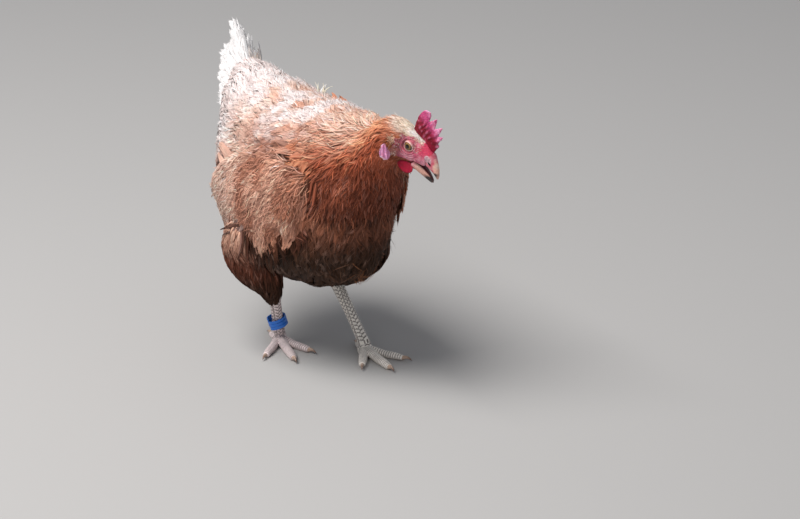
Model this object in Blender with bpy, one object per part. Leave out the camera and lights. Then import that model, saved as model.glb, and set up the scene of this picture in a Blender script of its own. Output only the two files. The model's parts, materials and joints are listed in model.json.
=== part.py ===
"""A brown laying hen at life size, walking with its head low and turned a little to its left.

Lengths are in millimetres and angles in degrees until solid() makes a mesh, which is in metres.
A place on the hen is (forward, left, up): forward is -Y, left is +X and up is +Z. The floor is up = 0.
Plumage is modelled to its outer surface. Each sub-part is one closed solid, CLEARANCE from the next.
"""

import itertools
import math
from dataclasses import dataclass

import bmesh
import bpy
import numpy as np

# Driving sizes of the body
BACK_UP = 280.0
KEEL_UP = 84.0
RUMP_BACK = -152.0
BREAST_FRONT = 113.0
TRUNK_HALF_WIDTH = 78.0

# The head: where the point midway between the eyes is, and how the head is turned
HEAD_PLACE = (170.0, 20.5, 278.5)
HEAD_TURN_LEFT = 20.0
HEAD_PITCH_DOWN = 26.0
EYE_RADIUS = 6.4
EYE_OUT = 7.5
EYE_UP = -1.5

# Legs: ankle and hock, where the foot points (to its left), and the thigh's middle line with its radii
LEFT_LEG = {
    "ankle": (26, 41, 12),
    "hock": (-20, 29, 76),
    "heading": -2,
    "thigh": [
        (36, 32, 150, 26),
        (32, 37, 132, 31),
        (19, 38, 112, 30),
        (-1, 35, 93, 22),
        (-14, 31.5, 78, 14.5),
        (-13, 31, 66, 8.7),
    ],
}
RIGHT_LEG = {
    "ankle": (-45, -22, 12),
    "hock": (-24, -40, 80),
    "heading": -13,
    "thigh": [
        (-8, -42, 152, 28),
        (-30, -48, 134, 37),
        (-44, -50, 114, 36),
        (-39, -48, 92, 28),
        (-29, -40.5, 71, 14.5),
        (-31, -36, 57, 8.6),
    ],
}
SHANK_RADIUS = 5.2

# Toes: (angle outwards from the foot's heading, length without the claw, radius at the root)
TOES = {"inner": (-30, 37, 4.3), "middle": (0, 50, 4.7), "outer": (33, 40, 4.1), "hind": (172, 15, 3.5)}
CLAW_LENGTH = 12.0
FOOT_REACH = 6.0
TOE_SINK = 0.80

# The comb, a blade along the crown with a fan of points
COMB_POINTS = 5
COMB_HEIGHT = 35.0
COMB_THICKNESS = 4.2
COMB_REAR = -8.6
COMB_LENGTH = 30.7
COMB_LOW = 3.0
COMB_RISE = 9.5
COMB_SUNK = 4.0
COMB_FLOP = 6.5
COMB_CREST = 0.45
COMB_LEAN = 57.0
COMB_FAN = 34.0
COMB_WIDENING = 1.34
COMB_NOTCH = 0.4
COMB_LOWEST = 2.0
# How much lower the arch is at its rear and front ends than at the crest
COMB_REAR_DROP = 0.3
COMB_FRONT_DROP = 0.88
# How much thinner the blade is at its edge, and its thickness at the two ends
COMB_TAPER = 0.72
COMB_END = 0.35
COMB_COLUMNS, COMB_LEVELS = 30, 3

# The loose leg ring, a flat spiral band
RING_TURNS = 3
RING_PITCH = 3.4
BAND_HEIGHT = 2.9
BAND_THICKNESS = 1.4
RING_RADIUS = 9.6
RING_UP = 28.0
RING_AXIS = (-0.13, -0.26, 1.0)
RING_STEPS = 16
# Corners of the band's section, as shares of its half thickness and half height
BAND_SECTION = ((-1, -1), (1, -0.75), (1, 0.75), (-1, 1))

CLEARANCE = 0.35
TO_METRES = 0.001
SHARP_ANGLE = 50.0

COLOURS = {
    "breast_plumage": ((0.45, 0.17, 0.07), 0.85),
    "back_plumage": ((0.72, 0.42, 0.27), 0.85),
    "tail_plumage": ((0.85, 0.74, 0.68), 0.85),
    "face_skin": ((0.55, 0.09, 0.13), 0.5),
    "comb_skin": ((0.62, 0.05, 0.12), 0.45),
    "lobe_skin": ((0.72, 0.35, 0.45), 0.5),
    "beak_horn": ((0.62, 0.45, 0.35), 0.35),
    "eye_iris": ((0.32, 0.17, 0.06), 0.1),
    "leg_scales": ((0.62, 0.47, 0.42), 0.5),
    "claw_horn": ((0.50, 0.38, 0.30), 0.35),
    "ring_plastic": ((0.02, 0.16, 0.62), 0.35),
}


def at(forward, left, up):
    """A place on the hen as x, y, z."""
    return np.array([left, -forward, up], float)


def unit(vector):
    vector = np.asarray(vector, float)
    return vector / np.linalg.norm(vector)


# ---------------------------------------------------------------- meshes and materials


def material(name):
    """The Principled material of that name, made once."""
    found = bpy.data.materials.get(name)
    if found:
        return found
    colour, roughness = COLOURS[name]
    found = bpy.data.materials.new(name)
    found.use_nodes = True
    shader = found.node_tree.nodes["Principled BSDF"]
    shader.inputs["Base Color"].default_value = (*colour, 1.0)
    shader.inputs["Roughness"].default_value = roughness
    shader.inputs["Metallic"].default_value = 0.0
    return found


def solid(name, points, faces, finish):
    """An object from points in millimetres, with its faces turned outwards and shaded smooth."""
    mesh = bpy.data.meshes.new(name)
    mesh.from_pydata([tuple(p) for p in np.asarray(points) * TO_METRES], [], faces)
    work = bmesh.new()
    work.from_mesh(mesh)
    bmesh.ops.remove_doubles(work, verts=work.verts, dist=1e-6)
    bmesh.ops.recalc_face_normals(work, faces=work.faces)
    work.to_mesh(mesh)
    work.free()
    mesh.shade_smooth()
    mesh.set_sharp_from_angle(angle=math.radians(SHARP_ANGLE))
    mesh.materials.append(material(finish))
    made = bpy.data.objects.new(name, mesh)
    bpy.context.scene.collection.objects.link(made)
    return made


def loft(name, rings, finish, pointed_end=None):
    """A closed solid through rings of equal numbers of points; pointed_end adds a last single point."""
    rings = [np.asarray(ring, float) for ring in rings]
    sides = len(rings[0])
    points = [p for ring in rings for p in ring]
    faces = []
    for i in range(len(rings) - 1):
        for j in range(sides):
            k = (j + 1) % sides
            faces.append((i * sides + j, i * sides + k, (i + 1) * sides + k, (i + 1) * sides + j))
    start, end = len(points), len(points) + 1
    points.append(rings[0].mean(axis=0))
    points.append(rings[-1].mean(axis=0) if pointed_end is None else np.asarray(pointed_end, float))
    last = (len(rings) - 1) * sides
    for j in range(sides):
        k = (j + 1) % sides
        faces.append((start, k, j))
        faces.append((end, last + j, last + k))
    return solid(name, points, faces, finish)


def slab(name, upper, lower, finish):
    """A closed solid between two grids of points of the same size, joined along their borders."""
    upper, lower = np.asarray(upper, float), np.asarray(lower, float)
    rows, columns = upper.shape[:2]
    below = rows * columns

    def index(i, j):
        return i * columns + j

    faces = []
    for i in range(rows - 1):
        for j in range(columns - 1):
            corners = [index(i, j), index(i, j + 1), index(i + 1, j + 1), index(i + 1, j)]
            faces.append(tuple(corners))
            faces.append(tuple(below + corner for corner in corners[::-1]))
    rim = [index(0, j) for j in range(columns)]
    rim += [index(i, columns - 1) for i in range(1, rows)]
    rim += [index(rows - 1, j) for j in range(columns - 2, -1, -1)]
    rim += [index(i, 0) for i in range(rows - 2, 0, -1)]
    for a, b in zip(rim, rim[1:] + rim[:1], strict=True):
        faces.append((b, a, below + a, below + b))
    return solid(name, np.vstack([upper.reshape(-1, 3), lower.reshape(-1, 3)]), faces, finish)


def oval(centre, across, upward, sides, squareness=2.0, belly=0.0):
    """A ring round centre. across and upward are its half axes; belly widens its lower half."""
    ring = []
    for j in range(sides):
        angle = 2 * math.pi * j / sides
        c = math.copysign(abs(math.cos(angle)) ** (2 / squareness), math.cos(angle))
        s = math.copysign(abs(math.sin(angle)) ** (2 / squareness), math.sin(angle))
        ring.append(centre + across * s * (1 - belly * c) + upward * c)
    return np.array(ring)


def smooth(rows, spots):
    """Catmull-Rom values of a table's rows at spots, each counted in rows."""
    rows = np.asarray(rows, float)
    padded = np.vstack([2 * rows[0] - rows[1], rows, 2 * rows[-1] - rows[-2]])
    values = []
    for spot in spots:
        i = min(int(spot), len(rows) - 2)
        t = spot - i
        a, b, c, d = padded[i : i + 4]
        values.append(
            0.5 * (2 * b + (c - a) * t + (2 * a - 5 * b + 4 * c - d) * t**2 + (3 * b - a - 3 * c + d) * t**3)
        )
    return np.array(values)


def tube(name, path, radii, sides, finish, flatness=1.0, pointed_end=None, per_span=3):
    """A tube along a smooth path. flatness is its height over its width."""
    count = (len(path) - 1) * per_span + 1
    table = smooth(np.column_stack([path, radii]), np.linspace(0, len(path) - 1, count))
    middles, sizes = table[:, :3], table[:, 3]
    rings = []
    steep = abs(unit(middles[-1] - middles[0])[2]) > 0.7
    guide = np.array((0, 1, 0) if steep else (0, 0, 1), float)
    for i, (middle, size) in enumerate(zip(middles, sizes, strict=True)):
        along = unit(middles[min(i + 1, count - 1)] - middles[max(i - 1, 0)])
        side = unit(np.cross(along, guide))
        rings.append(oval(middle, side * size, np.cross(side, along) * size * flatness, sides))
    return loft(name, rings, finish, pointed_end)


BALL_SEGMENTS, BALL_RINGS = 14, 8


def ball(name, centre, radius, finish):
    """A sphere."""
    mesh = bpy.data.meshes.new(name)
    work = bmesh.new()
    bmesh.ops.create_uvsphere(
        work, u_segments=BALL_SEGMENTS, v_segments=BALL_RINGS, radius=radius * TO_METRES
    )
    bmesh.ops.translate(work, verts=work.verts, vec=tuple(np.asarray(centre) * TO_METRES))
    work.to_mesh(mesh)
    work.free()
    mesh.shade_smooth()
    mesh.materials.append(material(finish))
    made = bpy.data.objects.new(name, mesh)
    bpy.context.scene.collection.objects.link(made)
    return made


def helper(made):
    """Marks an object as a cutter or a guide, which isn't part of the hen."""
    made.hide_render = True
    made.display_type = "WIRE"
    return made


def grown(made, by=CLEARANCE):
    """A cutter that is a copy of an object before its cuts, larger by that many millimetres all round."""
    copy = made.copy()
    copy.data = made.data.copy()
    copy.modifiers.clear()
    copy.name = "cutter_" + made.name
    bpy.context.scene.collection.objects.link(copy)
    steps = [vertex.normal * (by * TO_METRES) for vertex in copy.data.vertices]
    for vertex, step in zip(copy.data.vertices, steps, strict=True):
        vertex.co += step
    return helper(copy)


def boolean(made, other, operation="DIFFERENCE"):
    """Cuts an object by another, or joins the other to it."""
    step = made.modifiers.new(operation.title(), "BOOLEAN")
    step.operation = operation
    step.solver = "EXACT"
    step.object = other
    return made


def block(name, low, high, turn=None, place=None):
    """A box-shaped cutter between two corners, which turn and place then carry to where it cuts."""
    corners = np.array(list(itertools.product(*zip(low, high, strict=True))), float)
    if turn is not None:
        corners = corners @ turn.T + place
    faces = [(0, 1, 3, 2), (4, 6, 7, 5), (0, 4, 5, 1), (2, 3, 7, 6), (0, 2, 6, 4), (1, 5, 7, 3)]
    return helper(solid(name, corners, faces, "claw_horn"))


# ---------------------------------------------------------------- trunk and neck


@dataclass
class Station:
    """A cross-section of the body: its back and belly points (forward, up), half width, and turn."""

    back: tuple
    belly: tuple
    half_width: float
    left: float = 0.0
    turn: float = 0.0
    fullness: float = 0.08

    def row(self):
        return [*self.back, *self.belly, self.half_width, self.left, self.turn, self.fullness]


BODY = [
    Station((RUMP_BACK, BACK_UP + 5), (RUMP_BACK + 3, 214), 23),
    Station((RUMP_BACK + 18, BACK_UP + 4), (RUMP_BACK + 9, 177), 0.49 * TRUNK_HALF_WIDTH),
    Station((-112, BACK_UP + 3), (-130, KEEL_UP + 54), 0.68 * TRUNK_HALF_WIDTH, fullness=0.12),
    Station((-84, BACK_UP + 1), (-98, KEEL_UP + 24), 0.83 * TRUNK_HALF_WIDTH, fullness=0.14),
    Station((-42, BACK_UP - 1), (-48, KEEL_UP + 5), 0.94 * TRUNK_HALF_WIDTH, fullness=0.12),
    Station((0, BACK_UP), (0, KEEL_UP), 0.98 * TRUNK_HALF_WIDTH, fullness=0.07),
    Station((34, BACK_UP + 3), (42, KEEL_UP + 4), 0.93 * TRUNK_HALF_WIDTH, left=1, fullness=0.03),
    Station((62, BACK_UP + 6), (78, KEEL_UP + 20), 0.78 * TRUNK_HALF_WIDTH, left=1, fullness=-0.08),
    Station((84, BACK_UP + 7), (BREAST_FRONT - 12, KEEL_UP + 52), 0.64 * TRUNK_HALF_WIDTH, 2, 3, -0.11),
    Station((102, BACK_UP + 7), (BREAST_FRONT, KEEL_UP + 88), 0.51 * TRUNK_HALF_WIDTH, 3, 7, -0.07),
    Station((116, BACK_UP + 8), (BREAST_FRONT + 10, KEEL_UP + 121), 32, 4, 11, 0.0),
    Station((127, BACK_UP + 12), (BREAST_FRONT + 19, KEEL_UP + 147), 25, 6, 15, 0.0),
    Station((136, BACK_UP + 19), (BREAST_FRONT + 27, KEEL_UP + 163), 21, 9, 19, 0.0),
]
NECK_ROOT, NECK_END = 8.0, 12.0
# The rounded rear: how far behind the first section its smaller ring and its tip are, and that ring's scale
RUMP_RING, RUMP_TIP, RUMP_SCALE = 5.0, 7.0, 0.55
BODY_SIDES = 28
BODY_SQUARENESS = 2.2


def body_frame(spot):
    """At a spot counted in stations: the section's middle, its half axes left and up, and its fullness."""
    back_f, back_u, belly_f, belly_u, width, left, turn, full = smooth([s.row() for s in BODY], [spot])[0]
    top, bottom = at(back_f, left, back_u), at(belly_f, left, belly_u)
    angle = math.radians(turn)
    leftward = np.array([math.cos(angle), math.sin(angle), 0.0]) * width
    return (top + bottom) / 2, leftward, (top - bottom) / 2, full


def body_ring(spot, shift=0.0):
    """The body's outline at a spot counted in stations, moved along the body by shift millimetres."""
    middle, leftward, upward, full = body_frame(spot)
    ahead = unit(np.cross(leftward, upward))
    return oval(middle + ahead * shift, leftward, upward, BODY_SIDES, BODY_SQUARENESS, full)


def flank(spot, rise, side):
    """The body's surface on one side, where rise runs from -1 at the belly to 1 along the back."""
    middle, leftward, upward, full = body_frame(spot)
    out = max(0.0, 1 - abs(rise) ** BODY_SQUARENESS) ** (1 / BODY_SQUARENESS)
    return middle + leftward * side * out * (1 - full * rise) + upward * rise


def trunk():
    """From the rump to the root of the neck, with a rounded rear."""
    spots = np.concatenate([[0, 0.5], np.arange(1, NECK_ROOT, 0.5), [NECK_ROOT]])
    rings = [body_ring(spot) for spot in spots]
    rear = rings[0].mean(axis=0)
    dome = rear + (rings[0] - rear) * RUMP_SCALE + at(-RUMP_RING, 0, 0)
    return loft("trunk", [*rings[::-1], dome], "breast_plumage", pointed_end=rear + at(-RUMP_TIP, 0, 0))


def neck():
    """The hackle-covered neck, from the trunk to the head."""
    spots = np.arange(NECK_ROOT, NECK_END + 0.01, 0.5)
    rings = [body_ring(spot) for spot in spots]
    rings[0] = body_ring(NECK_ROOT, CLEARANCE)
    return loft("neck", rings, "breast_plumage")


# ---------------------------------------------------------------- head


def head_axes():
    """Columns: the head's forward, up and right directions in x, y, z."""
    turn, pitch = math.radians(HEAD_TURN_LEFT), math.radians(HEAD_PITCH_DOWN)
    forward = at(math.cos(turn) * math.cos(pitch), math.sin(turn) * math.cos(pitch), -math.sin(pitch))
    up = at(math.cos(turn) * math.sin(pitch), math.sin(turn) * math.sin(pitch), math.cos(pitch))
    return np.column_stack([forward, up, np.cross(forward, up)])


HEAD_AXES = head_axes()
HEAD_ORIGIN = at(*HEAD_PLACE)


def on_head(forward, up, right=0.0):
    """A place given along the head's own axes, as x, y, z."""
    return HEAD_ORIGIN + HEAD_AXES @ np.array([forward, up, right], float)


def head_ring(row, sides, squareness=2.0):
    """A ring across the head from (forward, up) of its crown and of its throat, and its half width."""
    crown_f, crown_u, throat_f, throat_u, width, full = row
    top, bottom = on_head(crown_f, crown_u), on_head(throat_f, throat_u)
    return oval((top + bottom) / 2, -HEAD_AXES[:, 2] * width, (top - bottom) / 2, sides, squareness, full)


# Crown point, throat point, half width, fullness below
SKULL = [
    (-27, 10.4, -9, -34.0, 17.0, 0.02),
    (-18, 10.6, -5, -27.5, 15.6, 0.05),
    (-8, 11.2, 0, -24.0, 13.8, 0.10),
    (2, 10.0, 5, -22.0, 12.4, 0.12),
    (10, 9.2, 10, -21.0, 11.2, 0.10),
    (17, 6.2, 16, -18.5, 9.2, 0.04),
    (23, 3.4, 22, -15.5, 7.2, 0.0),
]
HEAD_SIDES = 20
MOUTH_CORNER = (9.0, -14.2)
MOUTH_GAP = 1.0
MOUTH_CUTTER = (60, 30)


def head():
    """Skull and face, joined to the neck's last section, with eye sockets and the mouth's corner cut in."""
    neck_end = resampled(body_ring(NECK_END, CLEARANCE), HEAD_SIDES)
    count = 2 * (len(SKULL) - 1) + 1
    rows = smooth(SKULL, np.linspace(0, len(SKULL) - 1, count))
    rings = [neck_end, *(head_ring(row, HEAD_SIDES) for row in rows)]
    made = loft("head", rings, "face_skin")
    for side, right in (("left", -1), ("right", 1)):
        centre = on_head(0, EYE_UP, right * EYE_OUT)
        boolean(made, helper(ball("socket_" + side, centre, EYE_RADIUS + CLEARANCE, "face_skin")))
    corner_f, corner_u = MOUTH_CORNER
    reach, side = MOUTH_CUTTER
    low, high = (corner_f, -reach, -side), (reach, corner_u + MOUTH_GAP, side)
    return boolean(made, block("mouth", low, high, HEAD_AXES, HEAD_ORIGIN))


def resampled(ring, sides):
    """A closed ring of points read again at equal steps of its angle."""
    spots = np.arange(sides) * len(ring) / sides
    closed = np.vstack([ring, ring[:1]])
    low = spots.astype(int)
    share = (spots - low)[:, None]
    return closed[low] * (1 - share) + closed[low + 1] * share


def eyes():
    """The two eyeballs, set so that each shows as a shallow dome."""
    return [
        ball("eye_" + side, on_head(0, EYE_UP, right * EYE_OUT), EYE_RADIUS, "eye_iris")
        for side, right in (("left", -1), ("right", 1))
    ]


# Each beak half: (forward, upper edge, lower edge, half width)
UPPER_BEAK = [
    (23.3, 3.6, -13.0, 6.9),
    (28.0, -0.6, -13.4, 5.6),
    (32.5, -4.6, -14.4, 4.3),
    (36.5, -9.2, -16.2, 2.9),
    (39.2, -14.0, -18.2, 1.5),
]
UPPER_TIP = (40.2, -17.4)
LOWER_BEAK = [
    (9.4, -15.1, -22.0, 9.2),
    (16.0, -15.8, -23.4, 7.4),
    (23.0, -17.0, -24.6, 5.4),
    (30.0, -19.2, -25.2, 3.6),
    (35.0, -21.8, -25.4, 2.0),
]
LOWER_TIP = (36.8, -24.4)
BEAK_SIDES = 12
BEAK_SQUARENESS = 2.3


def beak_half(name, table, tip):
    """One half of the beak: a tapering loft with a flat bite edge."""
    count = 2 * (len(table) - 1) - 1
    rings = []
    for forward, high, low, width in smooth(table, np.linspace(0, len(table) - 1, count)):
        rings.append(head_ring((forward, high, forward, low, width, 0.0), BEAK_SIDES, BEAK_SQUARENESS))
    return loft(name, rings, "beak_horn", pointed_end=on_head(*tip))


def comb_height(along):
    """Height of the comb at a share of its base from back to front: an arch with a notch between points.

    The points widen towards the back, and the hindmost one is a rounded lobe.
    """
    if along < COMB_CREST:
        arch = 1 - COMB_REAR_DROP * ((COMB_CREST - along) / COMB_CREST) ** 2
    else:
        arch = 1 - COMB_FRONT_DROP * ((along - COMB_CREST) / (1 - COMB_CREST)) ** 2.2
    count = COMB_POINTS * along**COMB_WIDENING
    away = abs(2 * (count % 1.0) - 1)
    notch = away**4 if count < 1 else away**0.9
    return max(COMB_LOWEST, COMB_HEIGHT * arch * (1 - COMB_NOTCH * notch))


def comb():
    """A single comb: a blade with a thick root, points that fan forwards and a top that leans right."""
    faces = {1: [], -1: []}
    for along in np.linspace(0, 1, COMB_COLUMNS + 1):
        base_f, base_u = COMB_REAR + COMB_LENGTH * along, COMB_RISE * (1 - along**1.3) + COMB_LOW
        lean = math.radians(COMB_LEAN + COMB_FAN * (1 - along) ** 1.5)
        height = comb_height(along)
        ends = min(1.0, COMB_END + 4 * min(along, 1 - along))
        rows = {1: [], -1: []}
        for tall in np.linspace(-COMB_SUNK, height, COMB_LEVELS + 1):
            ratio = max(tall, 0.0) / height
            thick = COMB_THICKNESS * (1 - COMB_TAPER * ratio) * ends
            flop = COMB_FLOP * (max(tall, 0.0) / COMB_HEIGHT) ** 1.6 * (1 - 0.5 * along)
            for side, row in rows.items():
                forward, up = base_f + tall * math.cos(lean), base_u + tall * math.sin(lean)
                row.append(on_head(forward, up, flop + side * thick / 2))
        for side, row in rows.items():
            faces[side].append(row)
    return slab("comb", faces[1], faces[-1], "comb_skin")


@dataclass
class Lobe:
    """A flat hanging lobe of skin, given on the right side of the head along the head's own axes.

    place is its centre, along the way it is broad, and down the way it hangs.
    """

    name: str
    place: tuple
    along: tuple
    down: tuple
    half_length: float
    half_depth: float
    thickness: float
    finish: str

    def build(self, side):
        """The lobe of one side, right being 1: rounder and thicker below."""
        mirror = (1, 1, side)
        centre = on_head(*(np.array(self.place) * mirror))
        along, down = (unit(HEAD_AXES @ (np.array(way) * mirror)) for way in (self.along, self.down))
        outward = np.cross(along, down)
        rings = []
        for share in np.linspace(-1, 1, LOBE_RINGS):
            width = math.sqrt(max(0.0, 1 - share**2)) * (1 + LOBE_DROOP * share)
            size = max(width, LOBE_END)
            depth = self.thickness / 2 * (LOBE_EDGE + (1 - LOBE_EDGE) * size)
            middle = centre + down * self.half_depth * share
            rings.append(oval(middle, along * self.half_length * size, outward * depth, LOBE_SIDES))
        return loft(f"{self.name}_{side_name(-side)}", rings, self.finish)


LOBE_RINGS, LOBE_SIDES = 9, 14
# How much wider a lobe is below than above, its width at the ends, and its thickness there
LOBE_DROOP = 0.18
LOBE_END = 0.16
LOBE_EDGE = 0.55
# Straight down, along the head's own axes
HANG = HEAD_AXES.T @ np.array([0, 0, -1.0])

EAR_LOBE = Lobe(
    "ear_lobe",
    place=(-20.0, -20.0, 17.8),
    along=(1.0, 0.15, -0.22),
    down=(HANG[0] / 2, HANG[1], 0.0),
    half_length=5.8,
    half_depth=10.4,
    thickness=4.0,
    finish="lobe_skin",
)
WATTLE = Lobe(
    "wattle",
    place=(1.8, -25.2, 6.5),
    along=(0.9, 0.3, 0.12),
    down=(HANG[0], HANG[1], 0.14),
    half_length=11.5,
    half_depth=8.4,
    thickness=3.2,
    finish="comb_skin",
)


# ---------------------------------------------------------------- wings and tail


@dataclass
class Wing:
    """A folded wing that hugs the flank.

    Each row: station, height on the flank, half breadth, thickness, lift.
    """

    EDGE = 1.0
    GAP = CLEARANCE + 0.25
    COLUMNS = 9

    side: int
    rows: list

    def face(self, table, across, outer):
        """A grid of points over one face of the wing; across runs from the lower edge to the upper one."""
        grid = []
        for spot, rise, half, thick, lift in table:
            row = []
            for v in across:
                place = flank(spot, rise + half * v, self.side)
                behind = flank(spot - 0.05, rise + half * v, self.side)
                under = flank(spot, rise + half * v - 0.02, self.side)
                out = unit(np.cross(place - behind, place - under)) * -self.side
                depth = self.GAP + lift * (1 - 0.5 * v)
                if outer:
                    depth += self.EDGE + thick * math.sqrt(max(0.0, 1 - v * v))
                row.append(place + out * depth)
            grid.append(row)
        return np.array(grid)

    def build(self):
        name = "wing_" + side_name(self.side)
        table = smooth(self.rows, np.linspace(0, len(self.rows) - 1, 2 * len(self.rows) - 1))
        across = np.sin(np.linspace(-math.pi / 2, math.pi / 2, self.COLUMNS))
        return slab(name, self.face(table, across, True), self.face(table, across, False), "back_plumage")


LEFT_WING = Wing(
    1,
    [
        (7.5, 0.24, 0.12, 0.5, 0.0),
        (7.1, 0.22, 0.28, 4.0, 0.0),
        (6.2, 0.20, 0.42, 6.5, 0.0),
        (5.1, 0.17, 0.48, 6.5, 0.0),
        (4.1, 0.13, 0.46, 6.0, 0.0),
        (3.2, 0.06, 0.36, 5.0, 0.3),
        (2.5, -0.02, 0.22, 3.0, 1.0),
        (2.0, -0.08, 0.07, 1.0, 2.0),
    ],
)
RIGHT_WING = Wing(
    -1,
    [
        (7.5, 0.22, 0.12, 0.5, 0.0),
        (7.1, 0.18, 0.28, 4.0, 0.0),
        (6.2, 0.15, 0.42, 6.5, 0.0),
        (5.1, 0.09, 0.48, 5.5, 0.0),
        (4.1, -0.02, 0.46, 4.5, 0.0),
        (3.3, -0.18, 0.36, 3.5, 0.4),
        (2.75, -0.35, 0.22, 2.5, 1.5),
        (2.4, -0.48, 0.07, 1.0, 3.0),
    ],
)


# The tail's top and lowest feathers: (angle above the horizontal, angle outwards, length from the root)
TAIL_ROOT = (-100, 0, 222)
TAIL_FEATHERS = 7
TAIL_TOP = (50, 2, 130)
TAIL_LOW = (6, 28, 62)
TAIL_LEFT_SPREAD = 1.35
TAIL_LEFT_OPENING = 8
TAIL_SHEET = 2.2
TAIL_ROOT_SHEET = 3.0
TAIL_COLUMNS, TAIL_LEVELS = 4, 5
TAIL_START = 0.3
TAIL_NOTCH = 0.10


def tail_tip(side, share):
    """Where a tail feather ends: share is 0 for the top pair and 1 for the lowest."""
    rise, spread, length = (a + (b - a) * share for a, b in zip(TAIL_TOP, TAIL_LOW, strict=True))
    if side > 0:
        spread = spread * TAIL_LEFT_SPREAD + TAIL_LEFT_OPENING * min(1.0, share * TAIL_FEATHERS)
    rise, spread = math.radians(rise), math.radians(spread)
    out = at(-math.cos(rise) * math.cos(spread), side * math.cos(rise) * math.sin(spread), math.sin(rise))
    return at(*TAIL_ROOT) + out * length


def tail_inward(share):
    """The way into the tent at a signed share: down and forward at the top, sideways low down."""
    return unit(at(0.35 * (1 - abs(share)), -1.2 * share, -1 + 0.7 * abs(share)))


def tail():
    """A tent-shaped fan of broad feathers: one sheet, hollow below, whose far edge is scalloped."""
    root = at(*TAIL_ROOT)
    outer, inner = [], []
    for share in np.linspace(-1, 1, TAIL_FEATHERS * TAIL_COLUMNS + 1):
        side = 1 if share >= 0 else -1
        scallop = abs(math.sin(math.pi * (abs(share) * (TAIL_FEATHERS - 0.5) + 0.5)))
        tip = tail_tip(side, abs(share)) - root
        under = tail_inward(share)
        reaches = np.linspace(TAIL_START, 1, TAIL_LEVELS + 1)
        reaches[-1] -= TAIL_NOTCH * (1 - scallop)
        outer.append([root + tip * reach for reach in reaches])
        inner.append([root + tip * r + under * (TAIL_SHEET + TAIL_ROOT_SHEET * (1 - r)) for r in reaches])
    return slab("tail", outer, inner, "tail_plumage")


# ---------------------------------------------------------------- legs


def side_name(left):
    return "left" if left > 0 else "right"


def thigh(leg):
    """The feathered thigh and its fluff, from inside the flank to a cuff below the hock."""
    path = [at(*row[:3]) for row in leg["thigh"]]
    radii = [row[3] for row in leg["thigh"]]
    return tube("thigh_" + side_name(leg["hock"][1]), path, radii, 20, "breast_plumage", per_span=2)


# Share of the way from hock to ankle, and how much thicker than its waist the shank is there
SHANK = [(0.14, 1.1), (0.3, 0.5), (0.55, 0.0), (0.86, 0.3), (1.0, 0.9)]
SHANK_SIDES = 12
SHANK_FLATNESS = 1.12


def shank(leg):
    """The scaled shank, from the hock to the ankle, thickest at its two ends."""
    hock, ankle = at(*leg["hock"]), at(*leg["ankle"])
    path = [hock + (ankle - hock) * share for share, _ in SHANK]
    radii = [SHANK_RADIUS + more for _, more in SHANK]
    name = "shank_" + side_name(leg["ankle"][1])
    return tube(name, path, radii, SHANK_SIDES, "leg_scales", SHANK_FLATNESS, per_span=2)


# The pad below its first ring: (height, how much wider than the shank)
PAD = [(6.5, 2.5), (3.0, 2.6), (0.0, 1.2)]
PAD_TOP = 1.0
PAD_AHEAD = 1.5


def below(place):
    """The point of the floor straight under a place."""
    return np.array([place[0], place[1], 0.0])


def foot_pad(leg):
    """The knuckle under the shank: it starts square to the shank and ends in a flat on the floor."""
    hock, ankle = at(*leg["hock"]), at(*leg["ankle"])
    away = unit(ankle - hock)
    side = unit(np.cross(away, heading(leg)))
    ahead = np.cross(side, away)
    top = SHANK_RADIUS + PAD_TOP
    rings = [oval(ankle + away * CLEARANCE, side * top, ahead * top, SHANK_SIDES)]
    for height, more in PAD:
        middle, width = below(ankle) + heading(leg) * PAD_AHEAD + at(0, 0, height), SHANK_RADIUS + more
        rings.append(oval(middle, level(side) * width, heading(leg) * width, SHANK_SIDES))
    return loft("foot_" + side_name(leg["ankle"][1]), rings, "leg_scales")


def heading(leg, outwards=0.0):
    """The level direction in which a foot points, turned outwards by an angle."""
    side = 1 if leg["ankle"][1] > 0 else -1
    angle = math.radians(leg["heading"] + side * outwards)
    return at(math.cos(angle), math.sin(angle), 0)


def level(direction):
    """A direction laid flat, one long."""
    return unit((direction[0], direction[1], 0))


# Along a toe: share of its length, height over its resting line, and share of its root's radius
TOE = [(0.0, 2.2, 1.05), (0.25, 1.5, 1.05), (0.5, 0.0, 0.98), (0.78, 0.15, 0.92), (1.0, -0.25, 0.74)]
TOE_SIDES = 8
TOE_FLATNESS = 0.92
FLOOR_CUTTER = (200, 30)


def toe(leg, kind):
    """A toe from the pad's middle, sagging onto the floor and flat below, and the claw at its end."""
    side = side_name(leg["ankle"][1])
    angle, length, radius = TOES[kind]
    ahead = heading(leg, angle)
    centre = below(at(*leg["ankle"]))
    reach, rest = FOOT_REACH + length, radius * TOE_SINK
    path = [centre + ahead * reach * share + at(0, 0, rest + lift) for share, lift, _ in TOE]
    radii = [radius * size for _, _, size in TOE]
    digit = tube(f"toe_{kind}_{side}", path, radii, TOE_SIDES, "leg_scales", TOE_FLATNESS, per_span=1)
    far, deep = FLOOR_CUTTER
    boolean(digit, block(f"floor_{kind}_{side}", (-far, -far, -deep), (far, far, 0.0)))
    claw(f"claw_{kind}_{side}", path[-1], ahead, radii[-1])
    return digit


CLAW_RINGS, CLAW_SIDES = 4, 6
CLAW_GAP = CLEARANCE + 0.1
CLAW_ARCH = 1.8
CLAW_DROP = 1.6
# Its root's size as a share of the toe's end, its taper, and its width over its height
CLAW_ROOT, CLAW_TAPER, CLAW_NARROW = 0.84, 0.78, 0.8


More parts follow.
